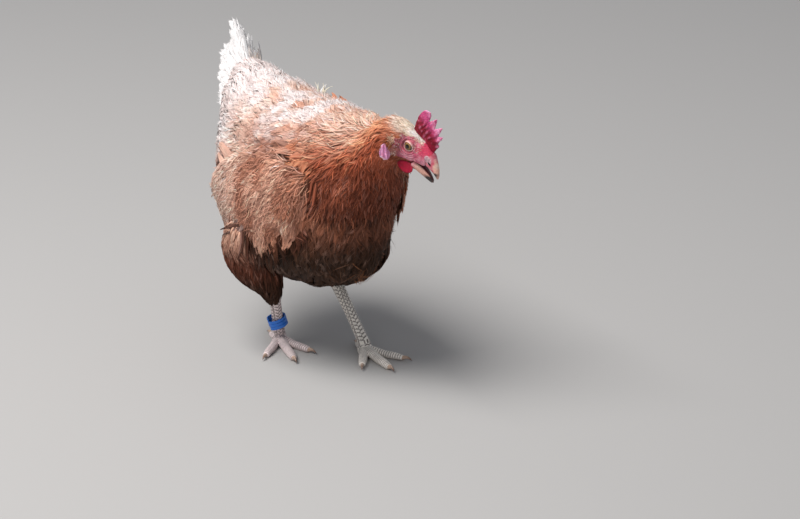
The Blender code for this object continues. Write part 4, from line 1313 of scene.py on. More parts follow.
@dataclass
class Wing:
    """A folded wing: its surface, a thin lining, coverts in rows and the long flight feathers."""

    side: int
    marks: Markings
    rows: int = 70
    columns: int = 40
    barb: Vane = replace(
        HAIR, length=18, width=0.9, depth=0.8, lift=1.4, unruly=0.22, wave=0.3, dark=0.85, swirl=0.5
    )
    fringe: Vane = Vane(
        40, 7, Outline.POINTED, depth=3.0, rows=9, columns=7, cup=0.8, fringe=0.2, pale=0.3, streak=0.16,
        wave=0.3, dark=0.5, unruly=0.14, variety=0.24, mottle=0.6,
    )
    quill: Vane = Vane(
        92, 15, Outline.STRAP, depth=3.0, rows=9, columns=13, pleat=0.22, fringe=0.05, shaft=0.12, swirl=0.0,
        bleach=0.0,
    )
    quills: int = 17
    # Coverts in the order they are laid: the shares of the wing's length between which they start, their
    # kind, and their spacing along and across
    coverts: tuple = (
        (0.34, 0.84, COVERT, 6.6, 5.6),
        (0.12, 0.60, replace(COVERT, length=34, width=9, wave=0.24, shaft=0.25), 6.0, 5.2),
        (0.00, 0.34, replace(COVERT, length=28, width=8, depth=2.4, wave=0.26, shaft=0.0, rows=6,
                             bleach=0.25, fringe=0.13), 5.2, 4.8),
        (0.00, 0.20, replace(SLIM_COVERT, length=18, depth=1.8, wave=0.26, shaft=0.0, rows=6, variety=0.26,
                             dark=0.4, mottle=0.5), 3.4, 3.2),
        (0.60, 0.90, SLIM_COVERT, 5.0, 3.8),
    )
    # Where the fringe grows: up to what share of the wing's height, and between what shares of its length
    fringe_top: float = 0.30
    fringe_rear: float = 0.66
    fringe_front_left: float = 0.32
    fringe_front_right: float = 0.05
    fringe_rise: float = 14.0
    pelt: Pelt = field(init=False)

    @property
    def node(self) -> str:
        """The wing's solid."""
        return "wing_left" if self.side > 0 else "wing_right"

    def __post_init__(self) -> None:
        """Finds the wing's upper and lower edge at each place along it, and its outer face between them."""
        low, high = np.array(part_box(self.node))
        caster = Caster(self.node)
        y = np.linspace(low[1] + 0.6 * MM, high[1] - 0.6 * MM, self.rows)
        z = np.linspace(low[2], high[2], 240)
        way = np.array([self.side, 0.0, 0.0])
        inside = ~np.isnan(self._cast(caster, y[:, None], z[None], way))
        bottom = z[inside.argmax(axis=1)]
        top = z[len(z) - 1 - inside[:, ::-1].argmax(axis=1)]
        bottom, top = blurred(bottom[:, None], 3, False)[:, 0], blurred(top[:, None], 3, False)[:, 0]
        across = np.linspace(0.03, 0.97, self.columns)
        height = bottom[:, None] + (top - bottom)[:, None] * across
        reach = self._cast(caster, y[:, None], height, way)
        reach = np.where(np.isnan(reach), np.nanmean(reach, axis=1, keepdims=True), reach)
        reach = blurred(reach, 2, False)
        points = np.stack([self.side * reach, np.broadcast_to(y[:, None], reach.shape), height], axis=-1)
        self.pelt = grid_facing(points, np.array([0.0, 0.0, 0.2]))

    @staticmethod
    def _cast(caster: Caster, y: Array, z: Array, way: Array) -> Array:
        """How far the wing's outer face is from the middle plane."""
        y, z = np.broadcast_arrays(y, z)
        origins = np.stack([np.zeros_like(y), y, z], axis=-1)
        return caster.leave(origins, np.broadcast_to(way, origins.shape))

    def lie(self, places: Array, normals: Array, along: Array) -> Array:
        """Backwards along the wing and downwards, most at its front and its lower edge."""
        forward, _, up = along_left_up(places)
        fall = 0.45 + 0.5 * ease(235, 165, up) + 0.2 * ease(-40, 60, forward) + 1.3 * ease(-40, -85, forward)
        return along - UP * fall[..., None]

    def build(self, rng: np.random.Generator) -> None:
        """Makes the lining, the coverts and the flight feathers."""
        points, faces = inward_shell(self.pelt, 2.0, 3.2)
        # Painted shade: the lining is the wing's colours darkened, to show dark in the gaps between the
        # coverts
        tint = self.marks.wing(points, np.zeros_like(points)) * 0.45
        name = "left" if self.side > 0 else "right"
        show("wing_lining_" + name, points, faces, tint, DOWN, stands_for=(self.node,))
        rows, columns = self.pelt.shape
        flight = Coat()
        number = np.linspace(0, 1, self.quills)
        i = rows * (0.36 + 0.16 * np.sin(number * math.pi))
        upward = self.pelt.points[rows // 2, -1, 2] > self.pelt.points[rows // 2, 0, 2]
        across = np.linspace(0.14, 0.72, self.quills)
        j = columns * (across if upward else 1 - across)
        reach = (rows - i) / rows * float(self.pelt.points[-1, 0, 1] - self.pelt.points[0, 0, 1]) / MM
        slope = np.array([0, 0, -0.12])
        lay(flight, self.pelt, i, j, self.quill, lambda p, n, along: along + slope, self.marks.wing, rng,
            (reach - 3) / self.quill.length)
        flight.build("flight_feathers_" + name, "back_plumage")
        coverts = Coat()
        for start, end, vane, along, beside in self.coverts:
            i, j = self.pelt.roots(along, beside, everywhere, rng)
            keep = (i / rows > start) & (i / rows < end)
            lay(coverts, self.pelt, i[keep], j[keep], vane, self.lie, self.marks.wing, rng)
        coverts.build("wing_coverts_" + name, "back_plumage")
        barbs = Coat()
        i, j = self.pelt.roots(3.6, 3.4, everywhere, rng)
        keep = i / rows < 0.9
        i, j = i[keep], j[keep]
        rise = rng.uniform(0, 1.6, len(i))
        lay(barbs, self.pelt, i, j, self.barb, self.lie, self.barb_colour, rng, 1.0, rise)
        barbs.build("wing_barbs_" + name, "back_plumage")
        fringe = Coat()
        i, j = self.pelt.roots(5.2, 4.8, everywhere, rng)
        share = j / columns if upward else 1 - j / columns
        front = self.fringe_front_left if self.side > 0 else self.fringe_front_right
        low = (share < self.fringe_top) & (i / rows < self.fringe_rear) & (i / rows > front)
        i, j = i[low], j[low]
        thigh = Caster("thigh_" + name)
        rise, clear = climb(self.pelt, i, j, self.hang, self.fringe.length, thigh, self.fringe_rise)
        i, j, rise = i[clear], j[clear], rise[clear]
        lay(fringe, self.pelt, i, j, self.fringe, self.hang, self.marks.fringe, rng, 1.0, rise)
        fringe.build("wing_fringe_" + name, "breast_plumage")

    def barb_colour(self, places: Array, normals: Array) -> Array:
        """The wing's colours, paled."""
        return np.minimum(self.marks.wing(places, normals) * 1.35 + 0.03, 0.95)

    @staticmethod
    def hang(places: Array, normals: Array, along: Array) -> Array:
        """Down, and a little backwards."""
        return 0.35 * along - np.array([0, 0, 1.2])


@dataclass
class Thigh:
    """A feathered thigh round its middle line, given by a few places from below the hock up."""

    node: str
    line: tuple
    marks: Markings
    columns: int = 72
    rows: int = 60
    cap_rows: int = 8
    depth: float = 4.0
    vane: Vane = Vane(
        26, 5.5, Outline.POINTED, depth=3.6, fringe=0.12, cup=0.4, pleat=0.25, pale=0.3, shaft=0.3,
        unruly=0.08, columns=7, variety=0.2, wave=0.2,
    )
    pelt: Pelt = field(init=False)
    outside: Array = field(init=False)

    def __post_init__(self) -> None:
        """Casts level rays from the middle line to the outside, with a cap round the lower end."""
        low, high = np.array(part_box(self.node))
        table = np.array(self.line, float)
        height = np.linspace(low[2] / MM + 1.5, high[2] / MM - 1.0, self.rows)
        ahead = np.interp(height, table[:, 2], table[:, 0])
        left = np.interp(height, table[:, 2], table[:, 1])
        centres = np.stack([left, -ahead, height], axis=1) * MM
        angle = around(self.columns)
        ring = np.stack([np.cos(angle), np.sin(angle), np.zeros_like(angle)], axis=-1)
        tilt = np.linspace(0.95 * HALF_PI, 0, self.cap_rows, endpoint=False)[:, None, None]
        cap = ring[None] * np.cos(tilt) - UP * np.sin(tilt)
        ways = np.concatenate([cap, np.broadcast_to(ring, (self.rows, *ring.shape))])
        origins = np.concatenate([np.repeat(centres[:1], self.cap_rows, axis=0), centres])[:, None]
        reach = Caster(self.node).leave(origins, ways)
        self.outside = blurred((~np.isnan(reach)).astype(float), 2, True)
        reach = blurred(np.where(np.isnan(reach), 6.0 * MM, reach), 3, True)
        self.pelt = Pelt(origins + ways * reach[..., None], periodic=True)
        if dot(self.pelt.normal, ways).sum() < 0:
            self.pelt = Pelt((origins + ways * reach[..., None])[:, ::-1], periodic=True)
            self.outside = self.outside[:, ::-1]

    def skin_points(self) -> Array:
        """The thigh's skin, inside the plumage."""
        return self.pelt.points - self.pelt.normal * self.depth * 0.8 * MM

    def build(self, rng: np.random.Generator) -> None:
        """Grows the thigh's feathers, which hang down."""
        coat = Coat()
        i, j = self.pelt.roots(4.2, 3.6, everywhere, rng)
        keep = self.pelt.read(self.outside[..., None], i, j)[:, 0] > 0.75
        place = self.pelt.place(i, j)
        spare = (place[:, 2] - self.pelt.points[self.cap_rows, :, 2].mean()) / MM
        length = np.clip((spare + 5) / self.vane.length, 0.3, 1.0)
        lay(coat, self.pelt, i[keep], j[keep], self.vane, self.hang, self.marks.thigh, rng, length[keep])
        coat.build(self.node + "_feathers", "breast_plumage")

    @staticmethod
    def hang(places: Array, normals: Array, along: Array) -> Array:
        """Straight down."""
        return np.broadcast_to(-UP, places.shape)


@dataclass(frozen=True)
class Tract:
    """One area of plumage: its kind of feather, its spacing, and the pieces' name and slot."""

    name: str
    slot: str
    vane: Vane
    along: float
    around: float


@dataclass(frozen=True)
class Tuft:
    """A few stray feathers: where they grow, how many, how far spread, their kind, rise and colour."""

    place: tuple
    count: int
    spread: float
    vane: Vane
    rise: float
    colour: tuple


@dataclass
class BodyPlumage:
    """The feathers of trunk, neck and head, tract by tract."""

    body: Body
    marks: Markings
    back: Tract = Tract(
        "back_feathers", "back_plumage",
        Vane(25, 10, depth=3.4, wave=0.24, pale=0.4, fringe=0.16, variety=0.1, cup=0.5, dark=0.72,
             columns=11, streak=0.09, bleach=0.12, unruly=0.12), 5.6, 5.4,
    )
    flank: Tract = Tract(
        "flank_feathers", "breast_plumage",
        Vane(36, 12, wave=0.2, pale=0.3, cup=0.9, columns=11, rows=8, fringe=0.16, dark=0.4, variety=0.2,
             streak=0.18, pleat=0.35, unruly=0.1), 6.2, 6.0,
    )
    shoulder: Tract = Tract(
        "shoulder_feathers", "back_plumage",
        Vane(30, 6.5, Outline.POINTED, depth=3.6, wave=0.26, pale=0.3, fringe=0.12, variety=0.26, cup=0.4,
             dark=0.4, bleach=0.3, shaft=0.3, columns=7, unruly=0.12, mottle=0.55), 4.2, 4.0,
    )
    breast: Tract = Tract(
        "breast_feathers", "breast_plumage",
        Vane(26, 9.5, depth=3.8, pale=0.22, shaft=0.3, cup=0.7, fringe=0.2, wave=0.08, dark=0.4,
             variety=0.2), 5.4, 5.2,
    )
    belly: Tract = Tract(
        "belly_feathers", "breast_plumage",
        Vane(34, 13, pale=0.2, fringe=0.34, lift=1.0, shaft=0.2), 6.5, 6.5,
    )
    vent: Tract = Tract(
        "vent_fluff", "breast_plumage",
        Vane(30, 8, fringe=0.2, lift=1.0, pale=0.3, columns=9, variety=0.16), 5.6, 5.2,
    )
    hackle: Tract = Tract(
        "hackle_feathers", "breast_plumage",
        Vane(40, 5.2, Outline.POINTED, depth=3.6, rows=7, columns=7, pleat=0.35, fringe=0.10, cup=0.5,
             unruly=0.09, wave=0.08, pale=0.35, shaft=0.5, variety=0.26, dark=0.3, bleach=0.25), 3.8, 3.7,
    )
    scalp: Tract = Tract(
        "head_feathers", "face_skin",
        Vane(8.5, 2.0, Outline.POINTED, depth=0.9, lift=0.25, rows=5, columns=5, pleat=0.12, fringe=0.1,
             cup=0.15, unruly=0.16, pale=0.35, shaft=0.3, variety=0.16, dark=0.72, bleach=0.3), 1.5, 1.5,
    )
    bristles: Tract = Tract("face_bristles", "face_skin", BRISTLE, 1.5, 1.5)
    # The loose barbs of each tract: their spacing, and how much paler than the plumage they are
    wisps: tuple = (
        ("back", 4.0, 1.1), ("flank", 4.6, 1.5), ("shoulder", 4.4, 1.3), ("breast", 4.4, 1.4),
        ("neck", 4.4, 1.5),
    )
    highest_rise: float = 9.0

    def zones(self, places: Array, normals: Array) -> dict[str, Array]:
        """The share of each tract at each place; the neck starts at a plane that leans back."""
        forward, _, up = along_left_up(places)
        f, u, r = self.body.head.read(places)
        on_head = ease(-28, -23, f) * ease(-46, -40, u)
        neck = ease(-8, 3, forward - (74 + (287 - up) * 0.113)) * ease(176, 200, up)
        wander = 0.25 * (speckle(places, 0.02, 31) - 0.5)
        facing = normals[..., 2] + wander
        vent = ease(-92, -112, forward) * ease(0.55, 0.25, facing)
        rest = (1 - neck) * (1 - on_head) * (1 - vent)
        front = ease(46, 66, forward + 60 * wander)
        bare = self.body.face.bare(places)
        under_comb = (np.abs(r) < 3.0) * ease(-9, -7, f) * (u > 4)
        beside_eye = np.hypot(f, u - self.body.head.eye_up) > 8.2
        hairy = (f < -6) | ((f > 5) & (f < 15) & (u > -3) & (u < 5)) | (u > 3.5)
        return {
            "head": on_head * (bare < 0.25) * (1 - under_comb) * (f < 9),
            "face": on_head * (bare > 0.6) * beside_eye * hairy * (f < 15),
            "neck": neck * (1 - on_head),
            "vent": vent * (1 - neck),
            "back": rest * (facing > 0.42),
            "breast": rest * (facing <= 0.42) * (facing > -0.62) * (front > 0.5),
            "flank": rest * (facing <= 0.42) * (facing > -0.45) * (front <= 0.5) * (up < 195 + 160 * wander),
            "shoulder": rest * (facing <= 0.42) * (front <= 0.5) * (up >= 195 + 160 * wander),
            "belly": rest * np.where(front > 0.5, facing <= -0.62, facing <= -0.45),
        }

    @staticmethod
    def lie(places: Array, normals: Array, along: Array) -> Array:
        """Backwards over the body, falling at the sides, and hanging at the rear."""
        forward, _, up = along_left_up(places)
        fall = 0.30 + 0.45 * ease(0.5, -0.2, normals[..., 2])
        fall = fall + 1.1 * ease(-105, -135, forward) * ease(260, 225, up)
        fall = fall + 1.5 * ease(25, 65, forward) * ease(235, 205, up) + 0.8 * ease(190, 130, up)
        return -along - UP * fall[..., None]

    def build(self, rng: np.random.Generator) -> None:
        """Grows every tract, leaving out what the wings cover and laying the rest over the wings' edges."""
        covered = Caster("wing_left", "wing_right", "thigh_left", "thigh_right")
        for key, tract, colour in (
            ("back", self.back, self.marks.plumage),
            ("flank", self.flank, self.marks.plumage),
            ("shoulder", self.shoulder, self.marks.plumage),
            ("breast", self.breast, self.marks.plumage),
            ("belly", self.belly, self.marks.plumage),
            ("vent", self.vent, self.marks.plumage),
            ("neck", self.hackle, self.marks.neck),
            ("head", self.scalp, self.marks.neck),
            ("face", self.bristles, self.marks.bristle),
        ):
            i, j, rise = self._roots(key, tract.along, tract.around, tract.vane.length, covered, rng)
            places = self.body.pelt.place(i, j)
            f = self.body.head.read(places)[0]
            forward, _, up = along_left_up(places)
            length = {
                "neck": (0.38 + 0.62 * ease(-30, -62, f)) * (1 - 0.35 * ease(225, 195, up)),
                "head": 0.55 + 0.75 * ease(-8, -28, f),
                "back": 1 + 0.4 * ease(-80, -125, forward),
                "flank": 1 + 0.4 * ease(190, 150, up),
            }.get(key, np.ones(len(i)))
            coat = Coat()
            lay(coat, self.body.pelt, i, j, tract.vane, self.lie, colour, rng, length, rise)
            coat.build(tract.name, tract.slot)
        wisps = Coat()
        for key, spacing, paler in self.wisps:
            i, j, rise = self._roots(key, spacing, spacing, HAIR.length, covered, rng)
            base = self.marks.neck if key == "neck" else self.marks.plumage
            lay(
                wisps, self.body.pelt, i, j, HAIR, self.lie,
                lambda places, normals, base=base, paler=paler: (
                    np.minimum(base(places, normals) * paler, 0.95)
                ),
                rng, 1.0, rise + rng.uniform(0, 2.0, len(i)),
            )
        wisps.build("loose_barbs", "breast_plumage")

    def _roots(
        self, key: str, along: float, around: float, length: float, covered: Caster, rng: np.random.Generator
    ) -> tuple[Array, Array, Array]:
        """Roots of one tract, and how far each tip has to rise to lie over a wing's edge."""
        pelt = self.body.pelt
        i, j = pelt.roots(along, around, lambda places, normals: self.zones(places, normals)[key], rng)
        i, j = i[i > 3], j[i > 3]
        places, normals = pelt.place(i, j), pelt.upright(i, j)
        rise = np.zeros(len(i))
        if key in ("head", "face", "vent"):
            return i, j, rise
        hidden = covered.leave(places - PROBE_DEPTH * normals, normals)
        open_air = np.isnan(hidden) | (hidden < PROBE_DEPTH + MM)
        i, j = i[open_air], j[open_air]
        most = self.highest_rise / 3 if key == "belly" else self.highest_rise
        rise, low = climb(pelt, i, j, self.lie, length, covered, most)
        return i[low], j[low], rise[low]

    def build_tufts(self, tufts: tuple[Tuft, ...], rng: np.random.Generator) -> None:
        """Grows the stray tufts."""
        pelt, coat = self.body.pelt, Coat()
        for tuft in tufts:
            forward, left, up = tuft.place
            i, j = pelt.nearest(np.array([left, -forward, up]) * MM)
            i, j = np.full(tuft.count, i), np.full(tuft.count, j)
            step_i, step_j = pelt.move(i, j, rng.normal(0, tuft.spread * MM, (tuft.count, 3)))
            shade = srgb(*tuft.colour)
            lay(
                coat, pelt, i + step_i, j + step_j, tuft.vane, self.lie,
                lambda places, normals, shade=shade: np.broadcast_to(shade, places.shape),
                rng, 1.0, tuft.rise,
            )
        coat.build("stray_tufts", "breast_plumage")


BROWN_LEAF = Vane(28, 8, unruly=0.08, wave=0.1, depth=1.5, dark=0.8, swirl=0.0)
TUFTS = (
    Tuft((-35, 20, 276), 6, 3.5, SPIKE, 9.0, (246, 232, 208)),
    Tuft((6, 27, 276), 3, 2.5, BROWN_LEAF, 4.0, (190, 126, 100)),
    # Pale locks along the neck's left contour: their paleness stands partly for painted backlight
    Tuft((81, 53, 205), 14, 6.0, LOCK, 1.0, (238, 212, 186)),
    Tuft((84, 46, 232), 12, 6.0, LOCK, 1.0, (232, 200, 170)),
    Tuft((82, 4, 124), 12, 9.0, STRAND, 2.0, (128, 84, 58)),
    Tuft((70, 38, 130), 16, 9.0, STRAND, 2.0, (140, 84, 52)),
    Tuft((-29, -76, 172), 22, 8.0, STRAND, 4.0, (236, 220, 210)),
    Tuft((-45, -66, 140), 22, 8.0, STRAND, 4.0, (232, 214, 204)),
)


@dataclass
class Tail:
    """A tent of broad feathers: its surface, a lining, the long feathers, and coverts above and below."""

    marks: Markings
    root: tuple = (-110.1, 1.4, 222)
    top: tuple = (50, 2, 130)
    low: tuple = (6, 28, 62)
    left_spread: float = 1.35
    left_opening: float = 8.0
    feathers: int = 7
    start: float = 0.26
    columns: int = 79
    rows: int = 26
    core: float = 0.72
    shortest: float = 7.0
    # How much of the fan's reach its feathers fill, from its left edge at -1 to its right edge at 1
    skyline: tuple = (
        (-1, 1), (-0.55, 0.92), (-0.46, 0.7), (-0.31, 0.56), (-0.26, 0.6), (-0.225, 0.9), (-0.19, 0.58),
        (-0.14, 0.5), (-0.08, 0.54), (-0.04, 0.8), (0, 1), (0.03, 0.98), (0.06, 0.80), (0.15, 0.86),
        (0.3, 0.92), (0.45, 0.88), (0.65, 0.88), (1, 0.96),
    )
    quill: Vane = Vane(
        100, 8.0, Outline.POINTED, depth=2.0, lift=0.5, rows=10, columns=9, pleat=0.15, fringe=0.04,
        unruly=0.02, shaft=0.2, variety=0.02, pale=0.2, dark=0.94, bleach=0.0, streak=0.04, swirl=0.0,
        mottle=0.03,
    )
    covert: Vane = Vane(
        50, 9, depth=2.2, lift=0.6, rows=8, fringe=0.1, unruly=0.06, pale=0.2, pleat=0.2, variety=0.03,
        dark=0.92, bleach=0.0, streak=0.05, cup=0.4, swirl=0.1, mottle=0.05,
    )
    fluff: Vane = Vane(
        34, 14, depth=1.5, lift=1.5, fringe=0.3, pale=0.3, dark=0.9, bleach=0.0, streak=0.05, swirl=0.1,
        mottle=0.05,
    )
    pelt: Pelt = field(init=False)

    def __post_init__(self) -> None:
        """Spans lines from the root to each feather's tip: angle up, angle out and length change evenly."""
        share = np.linspace(-1, 1, self.columns)
        away = np.abs(share)
        rise, spread, length = (a + (b - a) * away for a, b in zip(self.top, self.low, strict=True))
        opening = spread * self.left_spread + self.left_opening * np.minimum(1.0, away * self.feathers)
        spread = np.radians(np.where(share > 0, opening, spread))
        rise = np.radians(rise)
        level = np.cos(rise)
        across = np.sign(share) * level * np.sin(spread)
        out = np.stack([across, level * np.cos(spread), np.sin(rise)], axis=-1)
        reach = np.linspace(self.start, 1.0, self.rows)[:, None]
        forward, left, up = self.root
        root = np.array([left, -forward, up])
        points = (root + (length[:, None] * out)[None] * reach[..., None]) * MM
        self.pelt = grid_facing(points, np.array([left, 150.0, 205.0]) * MM)

    def build(self, rng: np.random.Generator) -> None:
        """Makes the lining, the tail feathers and the coverts."""
        rows, columns = self.pelt.shape
        core = Pelt(self.pelt.points[: int(rows * self.core)], periodic=False)
        points, faces = inward_shell(core, 0.9, 2.0)
        # Painted shade: the lining is the tail's colours a little darkened, for the gaps between its
        # feathers
        tint = self.marks.tail(points, points) * 0.85
        show("tail_lining", points, faces, tint, DOWN, stands_for=("tail",))
        quills = Coat()
        half = np.arange(self.feathers * 2 - 1) / (self.feathers * 2 - 1)
        j = (np.concatenate([-half[:0:-1], half]) + 1) / 2 * (columns - 1)
        j = j[np.argsort(-np.abs(j - (columns - 1) / 2))]
        i = np.full(len(j), 0.5)
        lay(quills, self.pelt, i, j, self.quill, lambda p, n, along: along, self.marks.tail, rng,
            0.93 * self._spare(i, j, self.pelt) / self.quill.length, np.linspace(0.0, 0.9, len(j)))
        quills.build("tail_feathers", "tail_plumage")
        for name, base, vane, spacing, end in (
            ("tail_coverts", self.pelt, self.covert, 4.6, 0.8),
            ("under_tail_fluff", self._inner(), self.fluff, 7.0, 0.8),
        ):
            i, j = base.roots(spacing * 1.4, spacing, everywhere, rng)
            spare = self._spare(i, j, base)
            keep = (i / rows < end) & (spare > self.shortest)
            i, j, spare = i[keep], j[keep], spare[keep]
            coat = Coat()
            length = np.minimum(spare * rng.uniform(0.85, 0.98, len(i)) / vane.length, 1.0)
            lay(coat, base, i, j, vane, lambda p, n, along: along, self.marks.tail, rng, length)
            coat.build(name, "tail_plumage")

    def _spare(self, i: Array, j: Array, base: Pelt) -> Array:
        """Millimetres from places of the fan to where its feathers end."""
        rows, columns = base.shape
        share = 2 * j / (columns - 1) - 1
        share = share if base is self.pelt else -share
        end = np.interp(share, *np.array(self.skyline).T) * (rows - 1)
        first, last = base.place(0 * j, j), base.place(np.full(len(j), rows - 1.001), j)
        per_row = np.linalg.norm(last - first, axis=-1)
        return np.maximum(end - i, 0.0) * per_row / (rows - 1) / MM

    def _inner(self) -> Pelt:
        """The tent's hollow side."""
        return Pelt((self.pelt.points - self.pelt.normal * 2.2 * MM)[:, ::-1], periodic=False)


# ---------------------------------------------------------------- eyes, lids, comb, lobes and beak


@dataclass
class Eye:
    """One eyeball with its iris and pupil, and the lids round it."""

    head: HeadFrame
    side: int
    pupil: float = 2.15
    iris: float = 4.3
    opening: float = 3.9
    rim: float = 4.7
    outer: float = 9.6
    widening: float = 0.22
    # Where the lids lie on the face, how far out the ball's middle is, and how high the rim stands
    seat: float = 7.6
    out: float = 7.5
    rim_height: float = 0.62
    olive: Array = tone(150, 116, 66)
    spoke: Array = tone(104, 70, 36)
    iris_rim: Array = tone(52, 34, 22)
    black: Array = tone(10, 6, 5)
    lid: Array = tone(186, 92, 108)
    # Painted shade in the troughs of the lid's ridges
    lid_crease_shade: Array = tone(122, 48, 60)
    lid_rim: Array = tone(232, 196, 186)
    lid_shade: Array = tone(60, 36, 34)

    @property
    def name(self) -> str:
        """Which side it is on."""
        return "left" if self.side < 0 else "right"

    def build_ball(self) -> None:
        """Makes the ball round the side axis: a dark pupil, an olive iris with spokes, and a dark rim."""
        rows, columns = 40, 48
        polar = np.linspace(0.02, math.pi - 0.02, rows)[:, None]
        angle = around(columns)[None]
        radius = self.head.eye_radius + 0.22 * bell(polar, 0.5) * np.ones_like(angle)
        centre = self.head.at(np.array(0.0), np.array(self.head.eye_up), np.array(self.side * self.out))
        across = np.sin(polar) * radius
        parts = (across * np.cos(angle), across * np.sin(angle), self.side * np.cos(polar) * radius)
        offset = self.head.at(*parts) - self.head.origin
        points, faces = closed_tube(centre + offset)
        if self.side < 0:
            faces = [face[:, ::-1] for face in faces]
        f, u, _ = self.head.read(points)
        out = np.hypot(f, u - self.head.eye_up)
        spokes = 0.5 + 0.5 * np.sin(np.arctan2(u - self.head.eye_up, f) * 34)
        colour = washed(
            self.olive, f,
            (self.spoke, spokes * 0.5),
            (self.iris_rim, ease(self.iris - 0.9, self.iris, out)),
            (self.black, ease(self.pupil + 0.25, self.pupil - 0.05, out)),
        )
        show(
            "eyeball_" + self.name, points, faces, colour, EYE,
            stands_for=("eye_" + self.name,),
        )

    def build_lids(self, caster: Caster) -> None:
        """Makes a ring of skin round the eye, from a thin pale rim on the ball down into the face outside.

        The height over the middle plane goes from just over the ball, at the opening, to just over the face,
        at the outer edge, plus the rim's bump and the folds.
        """
        rows, columns = 34, 96
        out = np.linspace(0, 1, rows)[:, None]
        angle = around(columns)[None]
        reach = self.opening + (self.outer - self.opening) * out**1.2
        wide, tall = 1 + self.widening * (1 - out), 1 - 0.25 * self.widening * (1 - out)
        f, du = reach * wide * np.cos(angle), reach * tall * np.sin(angle)
        from_axis = np.hypot(f, du)
        u = du + self.head.eye_up
        plane = self.head.at(f, u, np.zeros_like(f))
        way = np.broadcast_to(self.head.right * self.side, plane.shape)
        skin = mended(caster.leave(plane, way)[::-1])[::-1] / MM
        beyond = np.argmax(reach[:, 0] > self.seat)
        slope = (skin[-1] - skin[beyond]) / (reach[-1, 0] - reach[beyond, 0])
        flat = skin[beyond] + slope * np.minimum(reach - reach[beyond], 0)
        skin = blurred(np.where(np.arange(rows)[:, None] < beyond, flat, skin), 3, True)
        ball = np.sqrt(np.maximum(self.head.eye_radius**2 - from_axis**2, 0.5)) + self.out
        share = ease(self.opening, self.seat, reach)
        height = (ball + 0.25) * (1 - share) + (skin + 0.12 - 0.5 * ease(0.8, 1.0, out)) * share
        rim = bell(reach - self.rim, 0.55) * self.rim_height
        ridges = 0.20 * np.cos(FULL_TURN * (reach + 0.35 * np.cos(3 * angle)) / 1.5) * ease(5.4, 6.4, reach)
        height = blurred(height, 1, True)
        height = np.where(from_axis < self.head.eye_radius, np.maximum(height, ball + 0.3), height)
        height = height + rim + ridges * ease(1.0, 0.7, out)
        points = self.head.at(f, u, height * self.side)
        # Painted shade in the troughs of the ridges and at the edge of the opening
        tint = washed(
            self.lid, f,
            (self.lid_crease_shade, np.clip(-ridges * 4, 0, 1)),
            (self.lid_rim, bell(reach - self.rim, 0.6) * np.ones_like(angle)),
            (self.lid_shade, ease(4.25, 4.0, reach) * np.ones_like(angle)),
        )
        faces = grid_faces(rows, columns, periodic=True, flip=self.side > 0)
        show("eyelids_" + self.name, points, [faces], tint, FACE)


